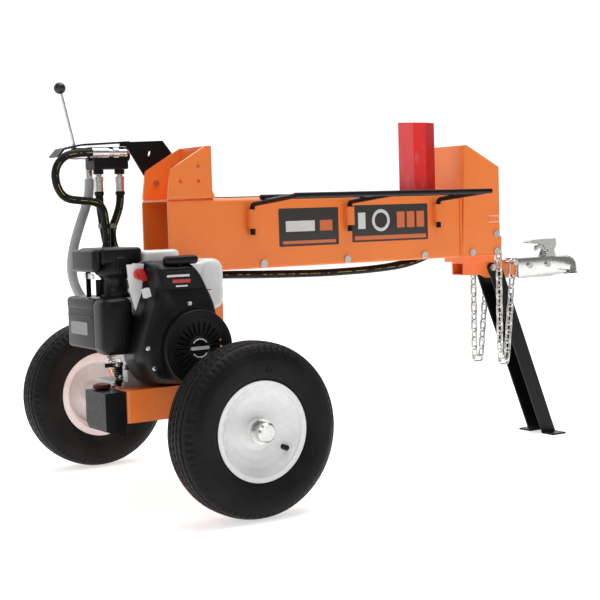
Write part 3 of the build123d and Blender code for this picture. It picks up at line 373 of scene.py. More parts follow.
def turned(name, profile, centre, axis, segments=96, ripple=None):
    """Revolve (distance along axis, radius) pairs, in millimetres, round an axis through a point.

    ripple(radius, angle) may change the radius, for flutes and ribs.
    """
    x, y, z = centre
    rows = []
    for k in range(segments):
        turn = 2 * pi * k / segments
        row = []
        for along, radius in profile:
            r = ripple(radius, turn) if ripple else radius
            a, b = r * cos(turn), r * sin(turn)
            offset = {"X": (along, a, b), "Y": (a, along, b), "Z": (a, b, along)}[axis]
            row.append(at(x + offset[0], y + offset[1], z + offset[2]))
        rows.append(row)
    return grid_mesh(name, rows, closed_u=False)


def slab(name, outline, plane, low, high, round_off=0.0):
    """A flat piece: an outline in one plane, given thickness, with its edges rounded."""
    shaper = bmesh.new()

    def place(a, b, c):
        """A point from its place in the plane and its level across it."""
        return at(*{"XZ": (a, c, b), "XY": (a, b, c), "YZ": (c, a, b)}[plane])

    bottom = [shaper.verts.new(place(a, b, low)) for a, b in outline]
    face = shaper.faces.new(bottom)
    top = bmesh.ops.extrude_face_region(shaper, geom=[face])
    moved = [item for item in top["geom"] if isinstance(item, bmesh.types.BMVert)]
    shift = place(0, 0, high) - place(0, 0, low)
    bmesh.ops.translate(shaper, verts=moved, vec=shift)
    bmesh.ops.recalc_face_normals(shaper, faces=shaper.faces)
    if round_off:
        bmesh.ops.bevel(shaper, geom=shaper.edges[:], offset=round_off * MM, segments=3, affect="EDGES")
    mesh = bpy.data.meshes.new(name)
    shaper.to_mesh(mesh)
    shaper.free()
    return mesh


def rounded_outline(low, high, radius, steps=5):
    """The corner-rounded rectangle between two corners."""
    points = []
    corners = ((high[0] - radius, high[1] - radius, 0), (low[0] + radius, high[1] - radius, 90),
               (low[0] + radius, low[1] + radius, 180), (high[0] - radius, low[1] + radius, 270))
    for x, y, start in corners:
        for k in range(steps + 1):
            turn = radians(start + 90 * k / steps)
            points.append((x + radius * cos(turn), y + radius * sin(turn)))
    return points


def pillow(name, low, high, span, corner, edge, plane="XY"):
    """A moulded block: a corner-rounded outline over a span of levels, both ends rolled over."""
    quarter = [(edge * (1 - cos(radians(a))), edge * (1 - sin(radians(a)))) for a in range(0, 91, 15)]
    levels = [(span[0] + rise, inset) for rise, inset in quarter]
    levels += [(span[1] - rise, inset) for rise, inset in reversed(quarter)]
    middle = ((low[0] + high[0]) / 2, (low[1] + high[1]) / 2)
    rows = []
    for level, inset in levels:
        outline = rounded_outline((low[0] + inset, low[1] + inset), (high[0] - inset, high[1] - inset),
                                  max(corner - inset * 0.6, 2.0))
        rows.append([(a, b, level) for a, b in outline])
    for end in (0, -1):
        tip = [(middle[0] + (a - middle[0]) * 0.01, middle[1] + (b - middle[1]) * 0.01, c)
               for a, b, c in rows[end]]
        rows.insert(0 if end == 0 else len(rows), tip)
    if plane == "XZ":
        rows = [[(a, c, b) for a, b, c in row] for row in rows]
    return grid_mesh(name, [[at(*point) for point in row] for row in rows], closed_v=False)


def tube(name, points, diameter, roundness=3, steps=12):
    """A round curve of one diameter that follows a smooth path through control points."""
    data = bpy.data.curves.new(name, "CURVE")
    data.dimensions = "3D"
    data.bevel_depth = diameter / 2 * MM
    data.bevel_resolution = roundness
    data.resolution_u = steps
    data.use_fill_caps = True
    line = data.splines.new("NURBS")
    line.points.add(len(points) - 1)
    for control, point in zip(line.points, points):
        control.co = (*at(*point), 1)
    line.order_u = 3
    line.use_endpoint_u = True
    return data


def rod(name, points, diameter, slot, body, material=None):
    """A thin round bar, wire or seam along a smooth path."""
    return piece(name, tube(name, points, diameter), slot, body, material=material)


# ---------------------------------------------------------------- hoses
def hose(name, points, diameter, slot, replaced):
    """One hydraulic hose on a smooth spline through its design route."""
    made = piece(name, tube(name, points, diameter, roundness=6, steps=16), slot, "frame")
    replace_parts(made, replaced)


PRESSURE_ROUTE = ((-67, 100, 462), (-67, 100, 500), (-82, 99, 536), (-103, 94, 568),
                  (-117, 78, 600), (-110, 71, 632), (-115, 66, 676), (-120, 64, 712),
                  (-139, 62, 731), (-183, 59, 735), (-226, 54, 740), (-250, 47, 768),
                  (-256, 43, 808), (-238, 43, 838), (-206, 44, 852), (-157, 44, 852))
WORK_ROUTE_A = ((-118, 92, 757), (-118, 92, 728), (-114, 92, 694), (-109, 93, 660),
                (-103, 92, 622), (-88, 88, 584), (-63, 76, 556), (-34, 60, 537), (4, 38, 531),
                (52, 15, 530), (100, 2, 532), (158, -7, 535), (216, -12, 534), (274, -12, 531),
                (332, -11, 529), (390, -14, 527), (448, -11, 525), (506, -13, 524.5),
                (564, -11, 525), (622, -13, 526), (680, -11, 528), (738, -12, 532),
                (794, -11, 541), (842, -12, 556), (884, -12, 571), (926, -12, 580),
                (966, -12, 580))
WORK_ROUTE_B = ((-60, 92, 757), (-60, 92, 730), (-70, 94, 696), (-84, 98, 664), (-82, 101, 626),
                (-66, 97, 586), (-42, 87, 557), (-12, 71, 536), (20, 55, 531), (56, 43, 530),
                (104, 33, 531), (160, 26, 534), (218, 17, 532), (276, 12, 529), (334, 14, 527),
                (392, 11, 525.5), (450, 13, 524), (508, 11, 523), (566, 13, 523.5),
                (624, 11, 524.5), (682, 13, 527), (740, 12, 531.5), (796, 13, 541),
                (844, 12, 556), (886, 12, 571), (928, 12, 580), (966, 12, 580))
RETURN_ROUTE = ((-126, 132, 790), (-126, 132, 756), (-140, 130, 716), (-162, 126, 668),
                (-181, 121, 618), (-190, 120, 570), (-180, 128, 524), (-154, 139, 484),
                (-118, 147, 448), (-80, 151, 414), (-40, 154, 388), (-6, 138, 352),
                (-6, 138, 318))

hose("pressure_line", PRESSURE_ROUTE, PRESSURE_D, "hose_rubber", "pressure_hose")
hose("work_line_a", WORK_ROUTE_A, PRESSURE_D, "hose_rubber", "work_hoses")
hose("work_line_b", WORK_ROUTE_B, PRESSURE_D, "hose_rubber", "work_hoses")
hose("return_line", RETURN_ROUTE, RETURN_D, "return_hose_rubber", "return_hose")


INK_WIDTH, INK_SUNK = 1.8, 0.2
TIE_GAP, TIE_OUTSIDE = 0.3, 2.2    # how far a strap's inside and outside stand off the hoses


def hose_print(name, points):
    """A broken line of printed ink along a hose, on its near side."""
    shifted = [(x, y - PRESSURE_D / 2 + INK_SUNK, z) for x, y, z in points]
    rod(name, shifted, INK_WIDTH, "hose_rubber", "frame", HOSE_INK)


def broken_ink():
    """Yellow-green ink dashes on black rubber."""
    made = Surface("hose_print", (0.006, 0.006, 0.006), 0.45, variation=0.05)
    dashes = made.noise(55, detail=2)
    made.mark(made.spread(dashes, 0.0, 1.0, 0.46, 0.52), (0.36, 0.34, 0.05))
    return made.done(0.0, 0.2)


HOSE_INK = broken_ink()
for name, route in (("pressure_print", PRESSURE_ROUTE), ("work_a_print", WORK_ROUTE_A),
                    ("work_b_print", WORK_ROUTE_B)):
    hose_print(name, route)


def bundle_tie(name, centres, low, high):
    """A strap pulled round upright hoses, between two levels."""

    def hull(reach):
        """The outline that stays one distance outside all the hose centres."""
        outline = []
        for k in range(48):
            turn = 2 * pi * k / 48
            x, y = max(centres, key=lambda c: c[0] * cos(turn) + c[1] * sin(turn))
            outline.append((x + reach * cos(turn), y + reach * sin(turn)))
        return outline

    inner, outer = hull(PRESSURE_D / 2 + TIE_GAP), hull(PRESSURE_D / 2 + TIE_OUTSIDE)
    loops = ((inner, low), (outer, low), (outer, high), (inner, high))
    rows = [[at(x, y, level) for x, y in outline] for outline, level in loops]
    piece(name, grid_mesh(name, rows), "black_plastic", "frame", smooth=False)


bundle_tie("hose_bundle_tie", ((-115.5, 65.5), (-110.5, 93), (-83, 98)), 664, 676)
for k, port in enumerate(VALVE_PORTS):
    bundle_tie(f"hose_collar_{k}", (port,), 748, 756)


# ---------------------------------------------------------------- tyres and wheels
def smooth_profile(points, steps=6):
    """A Catmull-Rom curve through a list of pairs."""
    dense = []
    padded = [points[0], *points, points[-1]]
    for p0, p1, p2, p3 in zip(padded, padded[1:], padded[2:], padded[3:]):
        for k in range(steps):
            t = k / steps
            dense.append(tuple(0.5 * (2 * b + (c - a) * t + (2 * a - 5 * b + 4 * c - d) * t * t
                                      + (3 * b - a - 3 * c + d) * t ** 3)
                               for a, b, c, d in zip(p0, p1, p2, p3)))
    return dense + [points[-1]]


HALF_TYRE = ((0, 202.6), (22, 201.5), (40, 196), (49, 187), (55, 176), (58.4, 160), (57, 145),
             (54, 132), (49, 123.5), (45.5, 119), (42, 116), (41, 103))
TYRE_SEGMENTS, TREAD_PITCHES = 432, 72
GROOVES, GROOVE_HALF, GROOVE_DEPTH, ZIGZAG = (0, 15, 30), 2.6, 5.0, 4
GROOVE_FLOOR, SHOULDER_FLOOR = 190, 176     # the radii above which each kind of cut is made
SIPE_FROM, SIPE_TO, SIPE_DEPTH, SIPE_STEPS = 42, 52, 3.0, 2
SIDE_RINGS, RING_HALF, RING_HEIGHT = (125, 130, 135, 146, 151, 163, 168, 173), 0.9, 0.6


def tyre(label, side):
    """Trailer tyre: zigzag grooves round the crown, shoulder sipes and raised side rings."""
    half = smooth_profile(HALF_TYRE, 12)
    profile = [(-a, r) for a, r in reversed(half)] + half[1:]
    rows = []
    for k in range(TYRE_SEGMENTS):
        turn = 2 * pi * k / TYRE_SEGMENTS
        zigzag = ZIGZAG * (abs((k * TREAD_PITCHES / TYRE_SEGMENTS) % 1 * 2 - 1) - 0.5)
        siped = k % (TYRE_SEGMENTS // TREAD_PITCHES) < SIPE_STEPS
        row = []
        for along, radius in profile:
            across = abs(along)
            depth = 0.0
            in_groove = any(abs(across - groove - zigzag) < GROOVE_HALF for groove in GROOVES)
            if in_groove and radius > GROOVE_FLOOR:
                depth = GROOVE_DEPTH
            if siped and SIPE_FROM < across < SIPE_TO and radius > SHOULDER_FLOOR:
                depth = SIPE_DEPTH
            raised = RING_HEIGHT if any(abs(radius - line) < RING_HALF for line in SIDE_RINGS) else 0.0
            r = radius - depth
            out = along + (raised if along > 0 else -raised)
            row.append(at(r * cos(turn), side * WHEEL_Y + out, WHEEL_Z + r * sin(turn)))
        rows.append(row)
    made = piece(f"{label}_tyre_tread", grid_mesh(f"{label}_tyre_tread", rows, closed_u=False),
                 "tyre_rubber", f"{label}_wheel")
    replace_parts(made, f"{label}_tyre")


def wheel_trim(label, side):
    """Rubber valve stem through the dish of the rim, and a small round mark on the tyre's side."""
    stem = [(0, 0.01), (0, 8.5), (6, 8.5), (9, 6), (15, 5.6), (16, 6.2), (21, 6.2), (23, 4), (23, 0.01)]
    stem = [(side * along, radius) for along, radius in stem]
    mesh = turned(f"{label}_valve_stem", stem, (66, side * (WHEEL_Y + 18), WHEEL_Z - 45), "Y", 20)
    piece(f"{label}_valve_stem", mesh, "black_plastic", f"{label}_wheel")
    hoop = [(side * (57.6 + 0.9 * sin(radians(a))), 7 + 0.9 * cos(radians(a))) for a in range(0, 361, 45)]
    mesh = turned(f"{label}_tyre_mark", hoop, (15, side * WHEEL_Y, WHEEL_Z + 140), "Y", 32)
    piece(f"{label}_tyre_mark", mesh, "tyre_rubber", f"{label}_wheel")


def hex_head(name, centre, radius, height):
    """A chamfered hexagon head on a flanged washer, standing out from a face towards the near side."""
    flange = radius * 1.35
    profile = [(0, flange), (-1.2, flange), (-1.6, radius), (-height, radius),
               (-height - 0.8, radius * 0.82), (-height - 0.8, 0.01)]
    flats = 0.866               # half the width across flats for a corner radius of 1

    def six_sided(r, turn):
        """Flatten the head into a hexagon and leave the flange round."""
        if r > radius * 1.1 or r < 0.1:
            return r
        return r * flats / cos((turn % (pi / 3)) - pi / 6)

    return turned(name, profile, centre, "Y", 48, six_sided)


for label, side in SIDES:
    tyre(label, side)
    wheel_trim(label, side)


# ---------------------------------------------------------------- caps and knobs
CAP_CROWN = 3.0
FLUTE_DEPTH = 0.045         # as a share of the cap's radius


def fluted_cap(name, replaced, centre, axis, sign, radius, height, flutes, slot, body):
    """A moulded cap: fluted grip, rounded crown and a shallow dished top."""
    profile = [(-2, radius * 0.7), (0, radius * 0.96), (1, radius), (height - CAP_CROWN, radius * 0.985),
               (height - CAP_CROWN * 0.3, radius * 0.93), (height, radius * 0.82),
               (height - 0.8, radius * 0.7), (height - 1.2, 0.01)]
    profile = [(sign * along, r) for along, r in profile]

    def flute(r, turn):
        """Shallow hollows round the grip only."""
        return r - FLUTE_DEPTH * radius * max(0.0, cos(flutes * turn)) if r > radius * 0.9 else r

    made = piece(name, turned(name, profile, centre, axis, flutes * 8, flute), slot, body)
    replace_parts(made, replaced)


fluted_cap("fuel_filler_cap_grip", "fuel_cap", (*FUEL_NECK_AT, 586.3), "Z", 1, radius=22, height=13.5,
           flutes=20, slot="black_plastic", body="fuel_filler_cap")
fluted_cap("oil_filler_cap_grip", "filler_cap", (*FILLER_AT, 297.3), "Z", 1, radius=21, height=8.7,
           flutes=24, slot="maroon_plastic", body="oil_filler_cap")
fluted_cap("dipstick_grip", "oil_dipstick", (*DIPSTICK_AT, 336.2), "Z", 1, radius=13, height=11.5,
           flutes=10, slot="black_plastic", body="dipstick")
fluted_cap("switch_knob_grip", "engine_switch", (SWITCH_AT[0], -234.3, SWITCH_AT[1]), "Y", -1, radius=13,
           height=14, flutes=14, slot="red_plastic", body="switch_knob")


# ---------------------------------------------------------------- engine details
def print_film(name, colour):
    """Printed film or ink with a faint weave."""
    made = Surface(name, colour, 0.36, variation=0.07, scale=16)
    made.bump(240, 0.04)
    return made.done(0.35)


FILM = print_film("decal_film", (0.022, 0.020, 0.018))
FILM_GREY = print_film("label_film", (0.15, 0.15, 0.155))
INK = print_film("pale_ink", (0.66, 0.66, 0.64))
RED_INK = print_film("red_ink", (0.48, 0.03, 0.03))
ORANGE_INK = print_film("orange_ink", (0.66, 0.15, 0.04))


def bead(name, face, radius, thickness):
    """A thin raised bead round the crank axis on the engine's front."""
    profile = [(thickness * cos(2 * pi * k / 12), radius + thickness * sin(2 * pi * k / 12))
               for k in range(13)]
    mesh = turned(name, profile, (CRANK[0], face, CRANK[1]), "Y", 128)
    piece(name, mesh, "black_plastic", "frame")


SHROUD_OUTLINE = ((-157, 580), (-106, 587), (-57, 580), (-21, 520), (-4, 475), (8, 395), (6, 350),
                  (-16, 312), (-60, 300), (-120, 300), (-172, 312), (-200, 352), (-205, 385),
                  (-191, 442), (-161, 518))


def smooth_loop(points, steps=6):
    """A closed Catmull-Rom curve through a ring of pairs."""
    dense = smooth_profile([*points[-2:], *points, *points[:2]], steps)
    return dense[2 * steps:(2 + len(points)) * steps]


def blower_housing():
    """The drawn-in housing over the fan, with a separate badge panel and a parting gap."""
    outline = smooth_loop(SHROUD_OUTLINE)
    depths = ((-286, 0.90), (-202, 0.965), (-202, 1.0), (-262, 0.985), (-280, 0.965), (-291, 0.935),
              (-297, 0.90), (-300, 0.86), (-300, 0.01))
    rows = [[at(SHROUD_MIDDLE[0] + (x - SHROUD_MIDDLE[0]) * scale, y,
                SHROUD_MIDDLE[1] + (z - SHROUD_MIDDLE[1]) * scale) for x, z in outline]
            for y, scale in depths]
    made = piece("blower_housing", grid_mesh("blower_housing", rows, closed_v=False),
                 "black_plastic", "frame")
    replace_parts(made, "fan_shroud")
    panel = ((-149, 566), (-68, 566), (-36, 523), (-153, 523))
    piece("badge_panel", slab("badge_panel", panel, "XZ", -299, -303.5, 1.4), "black_plastic", "frame",
          smooth=False)
    bars = ((-138, -80, 552, 557, INK), (-124, -78, 538, 546, RED_INK), (-116, -86, 529, 532.5, INK))
    for k, (x0, x1, z0, z1, ink) in enumerate(bars):
        bar = slab(f"badge_bar_{k}", ((x0, z0), (x1, z0), (x1, z1), (x0, z1)), "XZ", -303.4, -303.9)
        piece(f"badge_bar_{k}", bar, "white_paint", "frame", smooth=False, material=ink)
    rod("housing_parting_seam", [(-170, -301, 519.5), (-95, -301.2, 520), (-24, -301, 518)], 2.2,
        "black_plastic", "frame")
    sticker = ((-183, 506), (-170, 510), (-174, 530), (-187, 526))
    piece("side_sticker", slab("side_sticker", sticker, "XZ", -268, -286, 0.4), "white_paint", "frame",
          smooth=False, material=INK)


def recoil_details():
    """Arc ribs round the recoil cover, its centre badge and the housing's screws."""
    for k, radius in enumerate((98, 104, 110, 116)):
        arc = [(CRANK[0] + radius * cos(radians(a)), -300.4, CRANK[1] + radius * sin(radians(a)))
               for a in range(58 + 3 * k, 211 - 4 * k, 6)]
        rod(f"housing_rib_{k}", arc, 2.6, "black_plastic", "frame")
    for k, (radius, depth) in enumerate(((72, -0.4), (78, 0.2), (84, 2.4))):
        bead(f"recoil_bead_{k}", RECOIL_FACE + depth, radius, 1.2)
    disc = [(0, 0.01), (-1.6, 0.01), (-2.2, 20), (-1.6, 26), (0, 27)]
    mesh = turned("recoil_badge", disc, (CRANK[0], RECOIL_FACE, CRANK[1]), "Y", 64)
    piece("recoil_badge", mesh, "black_plastic", "frame")
    for k, start in enumerate((35, 215)):
        arc = [(CRANK[0] + 21 * cos(radians(a)), RECOIL_FACE - 2.2, CRANK[1] + 21 * sin(radians(a)))
               for a in range(start, start + 111, 10)]
        rod(f"badge_arc_{k}", arc, 3.2, "white_paint", "frame", INK)
    bar = rounded_outline((CRANK[0] - 24, CRANK[1] - 4), (CRANK[0] + 24, CRANK[1] + 4), 3)
    piece("badge_bar", slab("badge_bar", bar, "XZ", RECOIL_FACE - 2.1, RECOIL_FACE - 2.8), "white_paint",
          "frame", smooth=False, material=INK)
    for k, (x, z) in enumerate(((-80, 490), (-176, 346), (-190, 393), (-24, 340))):
        head = hex_head(f"housing_bolt_{k}", (x, -299, z), 4.2, 4)
        piece(f"housing_bolt_{k}", head, "zinc", "frame", smooth=False)


def starter_handle():
    """T-shaped grip resting on the housing, with the rope below it."""
    grip = piece("pull_handle", pillow("pull_handle", (-134, -298), (-50, -270), (579.5, 600), 9, 8),
                 "black_plastic", "pull_grip")
    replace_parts(grip, "starter_grip")
    cord = rod("pull_rope", [(-97, -291, 388), (-97, -291, 485), (-97, -291, 582)], 4.4, "black_plastic",
               "pull_grip")
    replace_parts(cord, "starter_grip")


def top_cover():
    """Two-part heat shield over the muffler, its side part hanging lower."""
    for name, low, high, span in (("top_cover", (-250, -198), (-144, -60), (583, 621)),
                                  ("top_cover_side", (-268, -192), (-244, -62), (566, 618))):
        made = piece(name, pillow(name, low, high, span, 12, 9), "black_plastic", "frame")
        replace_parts(made, "heat_guard")


def muffler_can():
    """Round can with a knurled rim over a narrower throat, and its pipe to the cylinder."""
    profile = [(505, 0.01), (505, 35), (511, 37), (515, 31), (546, 29), (556, 36), (561, 42), (565, 43),
               (596, 43), (600, 40), (600, 0.01)]
    mesh = turned("muffler_can", profile, (*MUFFLER_AT, 0), "Z", 144,
                  lambda r, turn: r + 0.7 * cos(36 * turn) if r > 41.5 else r)
    can = piece("muffler_can", mesh, "black_plastic", "frame")
    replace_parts(can, "muffler")
    pipe = rod("exhaust_pipe", [(-175, -156, 534), (-150, -156, 534), (-136, -152, 534)], 22,
               "cast_aluminium", "frame")
    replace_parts(pipe, "muffler")


def air_box():
    """Air cleaner: a lidded side box with a blank rating label and a deep rounded bowl in front."""
    for name, low, high, span, corner, edge in (
            ("air_box_side", (-258, -168), (-188, 0), (384, 494), 14, 8),
            ("air_box_lid", (-259, -170), (-187, 1), (474, 505), 15, 10),
            ("air_box_bowl", (-262, -225), (-182, -150), (374, 508), 24, 20)):
        made = piece(name, pillow(name, low, high, span, corner, edge), "black_plastic", "frame")
        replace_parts(made, "air_cleaner")
    label = rounded_outline((-122, 417), (-26, 447), 2)
    piece("air_box_label", slab("air_box_label", label, "YZ", -257.6, -258.6), "white_paint", "frame",
          smooth=False, material=FILM_GREY)
    rod("air_box_ridge", [(-258.4, -146, 461), (-258.4, -80, 462), (-258.4, -14, 462)], 3,
        "black_plastic", "frame")
    seam = [(-225, -225.2, 498), (-222, -225.4, 460), (-212, -225.4, 425), (-213, -225, 396)]
    rod("air_box_seam", seam, 1.6, "black_plastic", "frame")


def fuel_tank_lobes():
    """White moulded tank: side lobe, flat deck, raised front end and filler neck."""
    neck = [(570, 18), (586, 18), (586, 15), (570, 15)]
    meshes = (pillow("tank_side_lobe", (6, 463), (78, 586), (-190, -78), 27, 16, "XZ"),
              pillow("tank_deck", (-134, -188), (60, -80), (546, 579), 14, 9),
              pillow("tank_front_end", (-139, -192), (-42, -130), (556, 612), 15, 10),
              turned("tank_neck", neck, (*FUEL_NECK_AT, 0), "Z", 48))
    for mesh in meshes:
        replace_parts(piece(mesh.name, mesh, "white_paint", "frame"), "fuel_tank")


def linkage():
    """Governor spring, levers, brackets and screws between the air box and the base."""
    turns, steps, coil_radius = 11, 12, 6
    lean, drop = 12, 62
    coil = [(-232 + coil_radius * cos(2 * pi * k / steps) + lean * k / (turns * steps),
             -196 + coil_radius * sin(2 * pi * k / steps), 376 - drop * k / (turns * steps))
            for k in range(turns * steps + 1)]
    rod("governor_spring", coil, 1.7, "steel", "frame")
    rod("governor_link", [(-246, -190, 392), (-243, -196, 352), (-226, -198, 318)], 3, "zinc", "frame")
    screws = ((-244, -204, 368), (-222, -204, 352), (-214, -200, 322), (-232, -200, 304))
    for k, (x, y, z) in enumerate(screws):
        head = hex_head(f"linkage_screw_{k}", (x, y, z), 4.5, 4)
        piece(f"linkage_screw_{k}", head, "zinc", "frame", smooth=False)
    plates = ((-252, -206, 346, 356, -196), (-226, -206, 300, 350, -192),
              (-246, -222, 508, 548, -150), (-256, -244, 506, 566, -118))
    for k, (x0, x1, z0, z1, y) in enumerate(plates):
        plate = slab(f"linkage_plate_{k}", ((x0, z0), (x1, z0), (x1, z1), (x0, z1)), "XZ", y, y - 3, 0.8)
        piece(f"linkage_plate_{k}", plate, "black_plastic", "frame", smooth=False)
    white = slab("insulator_plate", ((-150, 549), (-98, 551), (-98, 563), (-150, 562)), "YZ", -252, -248,
                 0.6)
    piece("insulator_plate", white, "white_paint", "frame", smooth=False)
    pointer = slab("switch_pointer", ((-188, 570), (-170, 574), (-158, 545), (-172, 541)), "XZ", -249, -244,
                   1.5)
    piece("switch_pointer", pointer, "red_plastic", "switch_knob", smooth=False)


def fins():
    """Thin cooling fins round the cylinder, stacked between the castings."""
    count, lowest, pitch, thickness = 14, 446, 7, 2.2
    outline = rounded_outline((-139, -186), (6, -64), 14)
    for k in range(count):
        level = lowest + pitch * k
        mesh = slab(f"cooling_fin_{k}", outline, "XY", level, level + thickness, 0.6)
        piece(f"cooling_fin_{k}", mesh, "cast_aluminium", "frame", smooth=False)


for build_part in (blower_housing, recoil_details, starter_handle, top_cover, muffler_can, air_box,
                   fuel_tank_lobes, linkage, fins):
    build_part()


# ---------------------------------------------------------------- coupler
def coupler_shell():
    """Pressed coupler: a channel that widens into a domed ball housing with a turned-out lip."""

    def section(x, half, top, low, corner):
        """One cross-section of the channel: round its outside, then back along its inside."""
        outer = [(-half, low), (-half, top - corner)]
        outer += [(-half + corner - corner * cos(radians(a)), top - corner + corner * sin(radians(a)))
                  for a in (30, 60, 90)]
        outer += [(-y, z) for y, z in reversed(outer)]
        inner = [(y * (half - COUPLER_WALL) / half, z if z == low else z - COUPLER_WALL)
                 for y, z in reversed(outer)]
        return [at(x, y, z) for y, z in outer + inner]

    top, low = COUPLER_TOP, COUPLER_LOW
    stations = ((1168, 29.5, top, low - 6, 7), (1300, 29.5, top, low - 6, 7), (1318, 30.5, top, low - 2, 9),
                (1342, 34, top, low, 14), (1362, 36.5, top + 1, low, 22), (1378, 37.5, top + 2, low, 30))
    rows = [section(*station) for station in stations]
    channel = piece("coupler_channel", grid_mesh("coupler_channel", rows, closed_v=False), "zinc", "frame")
    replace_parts(channel, "coupler")
    profile = [(480, 43), (483.5, 43), (484, 38.5), (498, 38.5), (512, 36.5), (522, 31.5), (530, 23),
               (535, 11), (536, 0.01), (532, 0.01), (509, 6), (500, 20), (484, 25.8), (480, 27)]
    dome = piece("coupler_dome", turned("coupler_dome", profile + profile[:1], (BALL_X, 0, 0), "Z", 72),
                 "zinc", "frame")
    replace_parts(dome, "coupler")
    half_lip = ((1340, 41), (BALL_X, 44), (1410, 32))
    lip = [(x, -y, low + 1) for x, y in half_lip] + [(1424, 0, low + 1)]
    lip += [(x, y, low + 1) for x, y in reversed(half_lip)]
    rod("coupler_lip_seal", lip, 3.4, "black_plastic", "frame")
    outline = ((1290, 532), (1332, 532), (1322, 556), (1300, 556))
    for k, side in enumerate((-1, 1)):
        lug = slab(f"coupler_lug_{k}", outline, "XZ", side * 16, side * 19, 0.8)
        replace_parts(piece(f"coupler_lug_{k}", lug, "zinc", "frame", smooth=False), "coupler")


coupler_shell()


# ---------------------------------------------------------------- decals
def decal(name, x_range, z_range, side, bars, ring_at):
    """A film panel on the beam's side, with plain bars and a ring in place of any mark."""
    face = side * BEAM_SIDE
    outline = rounded_outline((x_range[0], z_range[0]), (x_range[1], z_range[1]), 3)
    mesh = slab(name, outline, "XZ", face + side * 0.1, face + side * 0.6)
    piece(name, mesh, "black_plastic", "frame", smooth=False, material=FILM)
    for k, (x0, x1, z0, z1, ink) in enumerate(bars):
        mesh = slab(f"{name}_bar_{k}", ((x0, z0), (x1, z0), (x1, z1), (x0, z1)), "XZ",
                    face + side * 0.6, face + side * 0.9)
        piece(f"{name}_bar_{k}", mesh, "white_paint", "frame", smooth=False, material=ink)
    if ring_at:
        x, z, radius = ring_at
        hoop = [(side * along, r) for along, r in ((0.5, radius - 9), (1.0, radius - 8.5),
                                                   (1.0, radius - 0.5), (0.5, radius))]
        piece(f"{name}_ring", turned(f"{name}_ring", hoop, (x, face, z), "Y", 64), "white_paint", "frame",
              material=INK)


for label, side in SIDES:
    decal(f"{label}_decal_left", (309, 496), (602, 701), side,
          [(320, 486, 608, 616, ORANGE_INK), (330, 420, 640, 668, INK), (436, 476, 640, 668, ORANGE_INK)],
          None)
    decal(f"{label}_decal_right", (540, 797), (605, 704), side,
          [(548, 790, 610, 621, ORANGE_INK), (690, 716, 640, 684, ORANGE_INK),
           (724, 750, 640, 684, ORANGE_INK), (758, 784, 640, 684, ORANGE_INK),
           (560, 584, 640, 684, INK)], (636, 662, 30))


# ---------------------------------------------------------------- welds
def weld(name, start, end, size=2.6):
    """A rippled bead of weld between two points."""
    step, ripple_pitch, ripple_depth, sides = 1.6, 3.2, 0.16, 10
    first, last = at(*start), at(*end)
    along = last - first
    across = along.orthogonal().normalized()
    other = along.cross(across).normalized()
    count = max(8, int(along.length / (step * MM)))
    rows = []
    for k in range(count + 1):
        ripple = 1 + ripple_depth * cos(2 * pi * k / ripple_pitch)
        taper = 0.02 if k in (0, count) else 1.0
        centre = first + along * (k / count)
        rows.append([centre + (across * cos(a) + other * sin(a)) * size * ripple * taper * MM
                     for a in (2 * pi * j / sides for j in range(sides))])
    piece(name, grid_mesh(name, rows, closed_v=False), "orange_paint", "frame")


for label, side in SIDES:
    for k, x in enumerate(SOCKET_X):
        for letter, edge in (("a", -9), ("b", 9)):
            weld(f"{label}_socket_weld_{k}_{letter}",
                 (x + edge, side * (BEAM_SIDE + 1.2), 655), (x + edge, side * (BEAM_SIDE + 1.2), 698))
    weld(f"{label}_left_plate_weld", (-4, side * (BEAM_SIDE - 1.6), 736),
         (102, side * (BEAM_SIDE - 1.6), 736), size=3.2)
    weld(f"{label}_right_plate_weld", (918, side * (BEAM_SIDE + 5.5), FOOT_WELD_Z),
         (1052, side * (BEAM_SIDE + 5.5), FOOT_WELD_Z), size=2.0)
    weld(f"{label}_side_plate_weld", (915, side * (BEAM_SIDE + 1.5), 552),
         (915, side * (BEAM_SIDE + 1.5), 729), size=4.0)
weld("push_plate_weld_left", (LEFT_WELD_X, -60, TOP_WELD_Z), (LEFT_WELD_X, 60, TOP_WELD_Z), size=3.2)
weld("push_plate_weld_right", (RIGHT_WELD_X, -66, TOP_WELD_Z), (RIGHT_WELD_X, 66, TOP_WELD_Z), size=3.2)


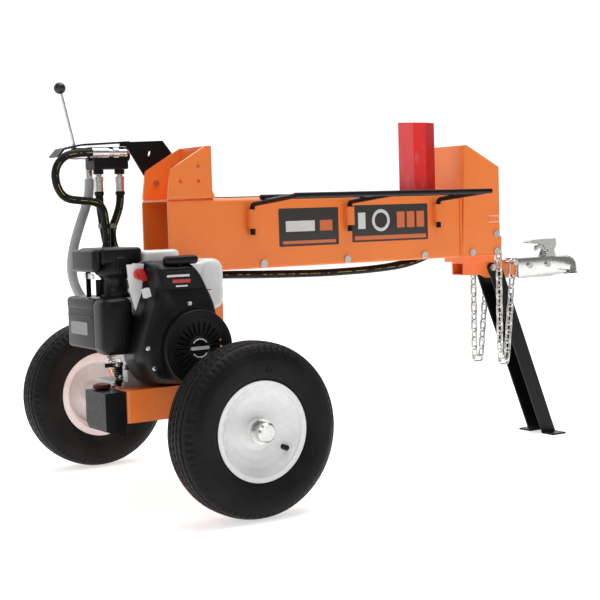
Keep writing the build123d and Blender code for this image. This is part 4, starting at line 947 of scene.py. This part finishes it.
# ---------------------------------------------------------------- stage and light
def make_stage():
    """A white sweep that glows a little, under one broad overhead light."""
    half, back, rise, bend = 30.0, 5.0, 12.0, 2.0      # metres
    curve = [(-half, 0.0), (back - bend, 0.0)]
    curve += [(back - bend + bend * sin(radians(a)), bend - bend * cos(radians(a)))
              for a in range(10, 90, 10)]
    curve += [(back, bend), (back, rise)]
    mesh = bpy.data.meshes.new("sweep")
    verts = [(x, y, z) for y, z in curve for x in (-half, half)]
    faces = [(2 * k, 2 * k + 1, 2 * k + 3, 2 * k + 2) for k in range(len(curve) - 1)]
    mesh.from_pydata(verts, [], faces)
    mesh.shade_smooth()
    sweep = bpy.data.objects.new("sweep", mesh)
    bpy.context.scene.collection.objects.link(sweep)
    pale = Surface("pale_sweep", (0.90, 0.90, 0.90), 0.8, variation=0.005, scale=1)
    pale.shader.inputs["Emission Color"].default_value = (1, 1, 1, 1)
    pale.shader.inputs["Emission Strength"].default_value = SWEEP_GLOW
    mesh.materials.append(pale.done())
    world = bpy.data.worlds.new("studio")
    world.use_nodes = True
    world.node_tree.nodes["Background"].inputs["Color"].default_value = (1, 1, 1, 1)
    glow = world.node_tree.nodes["Background"].inputs["Strength"]
    # the camera sees the far world as white as the sweep; only its light stays low
    path = world.node_tree.nodes.new("ShaderNodeLightPath")
    seen = world.node_tree.nodes.new("ShaderNodeMapRange")
    seen.inputs["To Min"].default_value = WORLD_LIGHT
    world.node_tree.links.new(path.outputs["Is Camera Ray"], seen.inputs["Value"])
    world.node_tree.links.new(seen.outputs["Result"], glow)
    bpy.context.scene.world = world
    bpy.context.scene.view_settings.view_transform = "Standard"
    for name, place, size, power in LIGHTS:
        data = bpy.data.lights.new(name, "AREA")
        data.size = size
        data.energy = power
        lamp = bpy.data.objects.new(name, data)
        bpy.context.scene.collection.objects.link(lamp)
        lamp.location = place
        aim = Vector(LIGHT_TARGET) - lamp.location
        lamp.rotation_euler = aim.to_track_quat("-Z", "Y").to_euler()


make_stage()
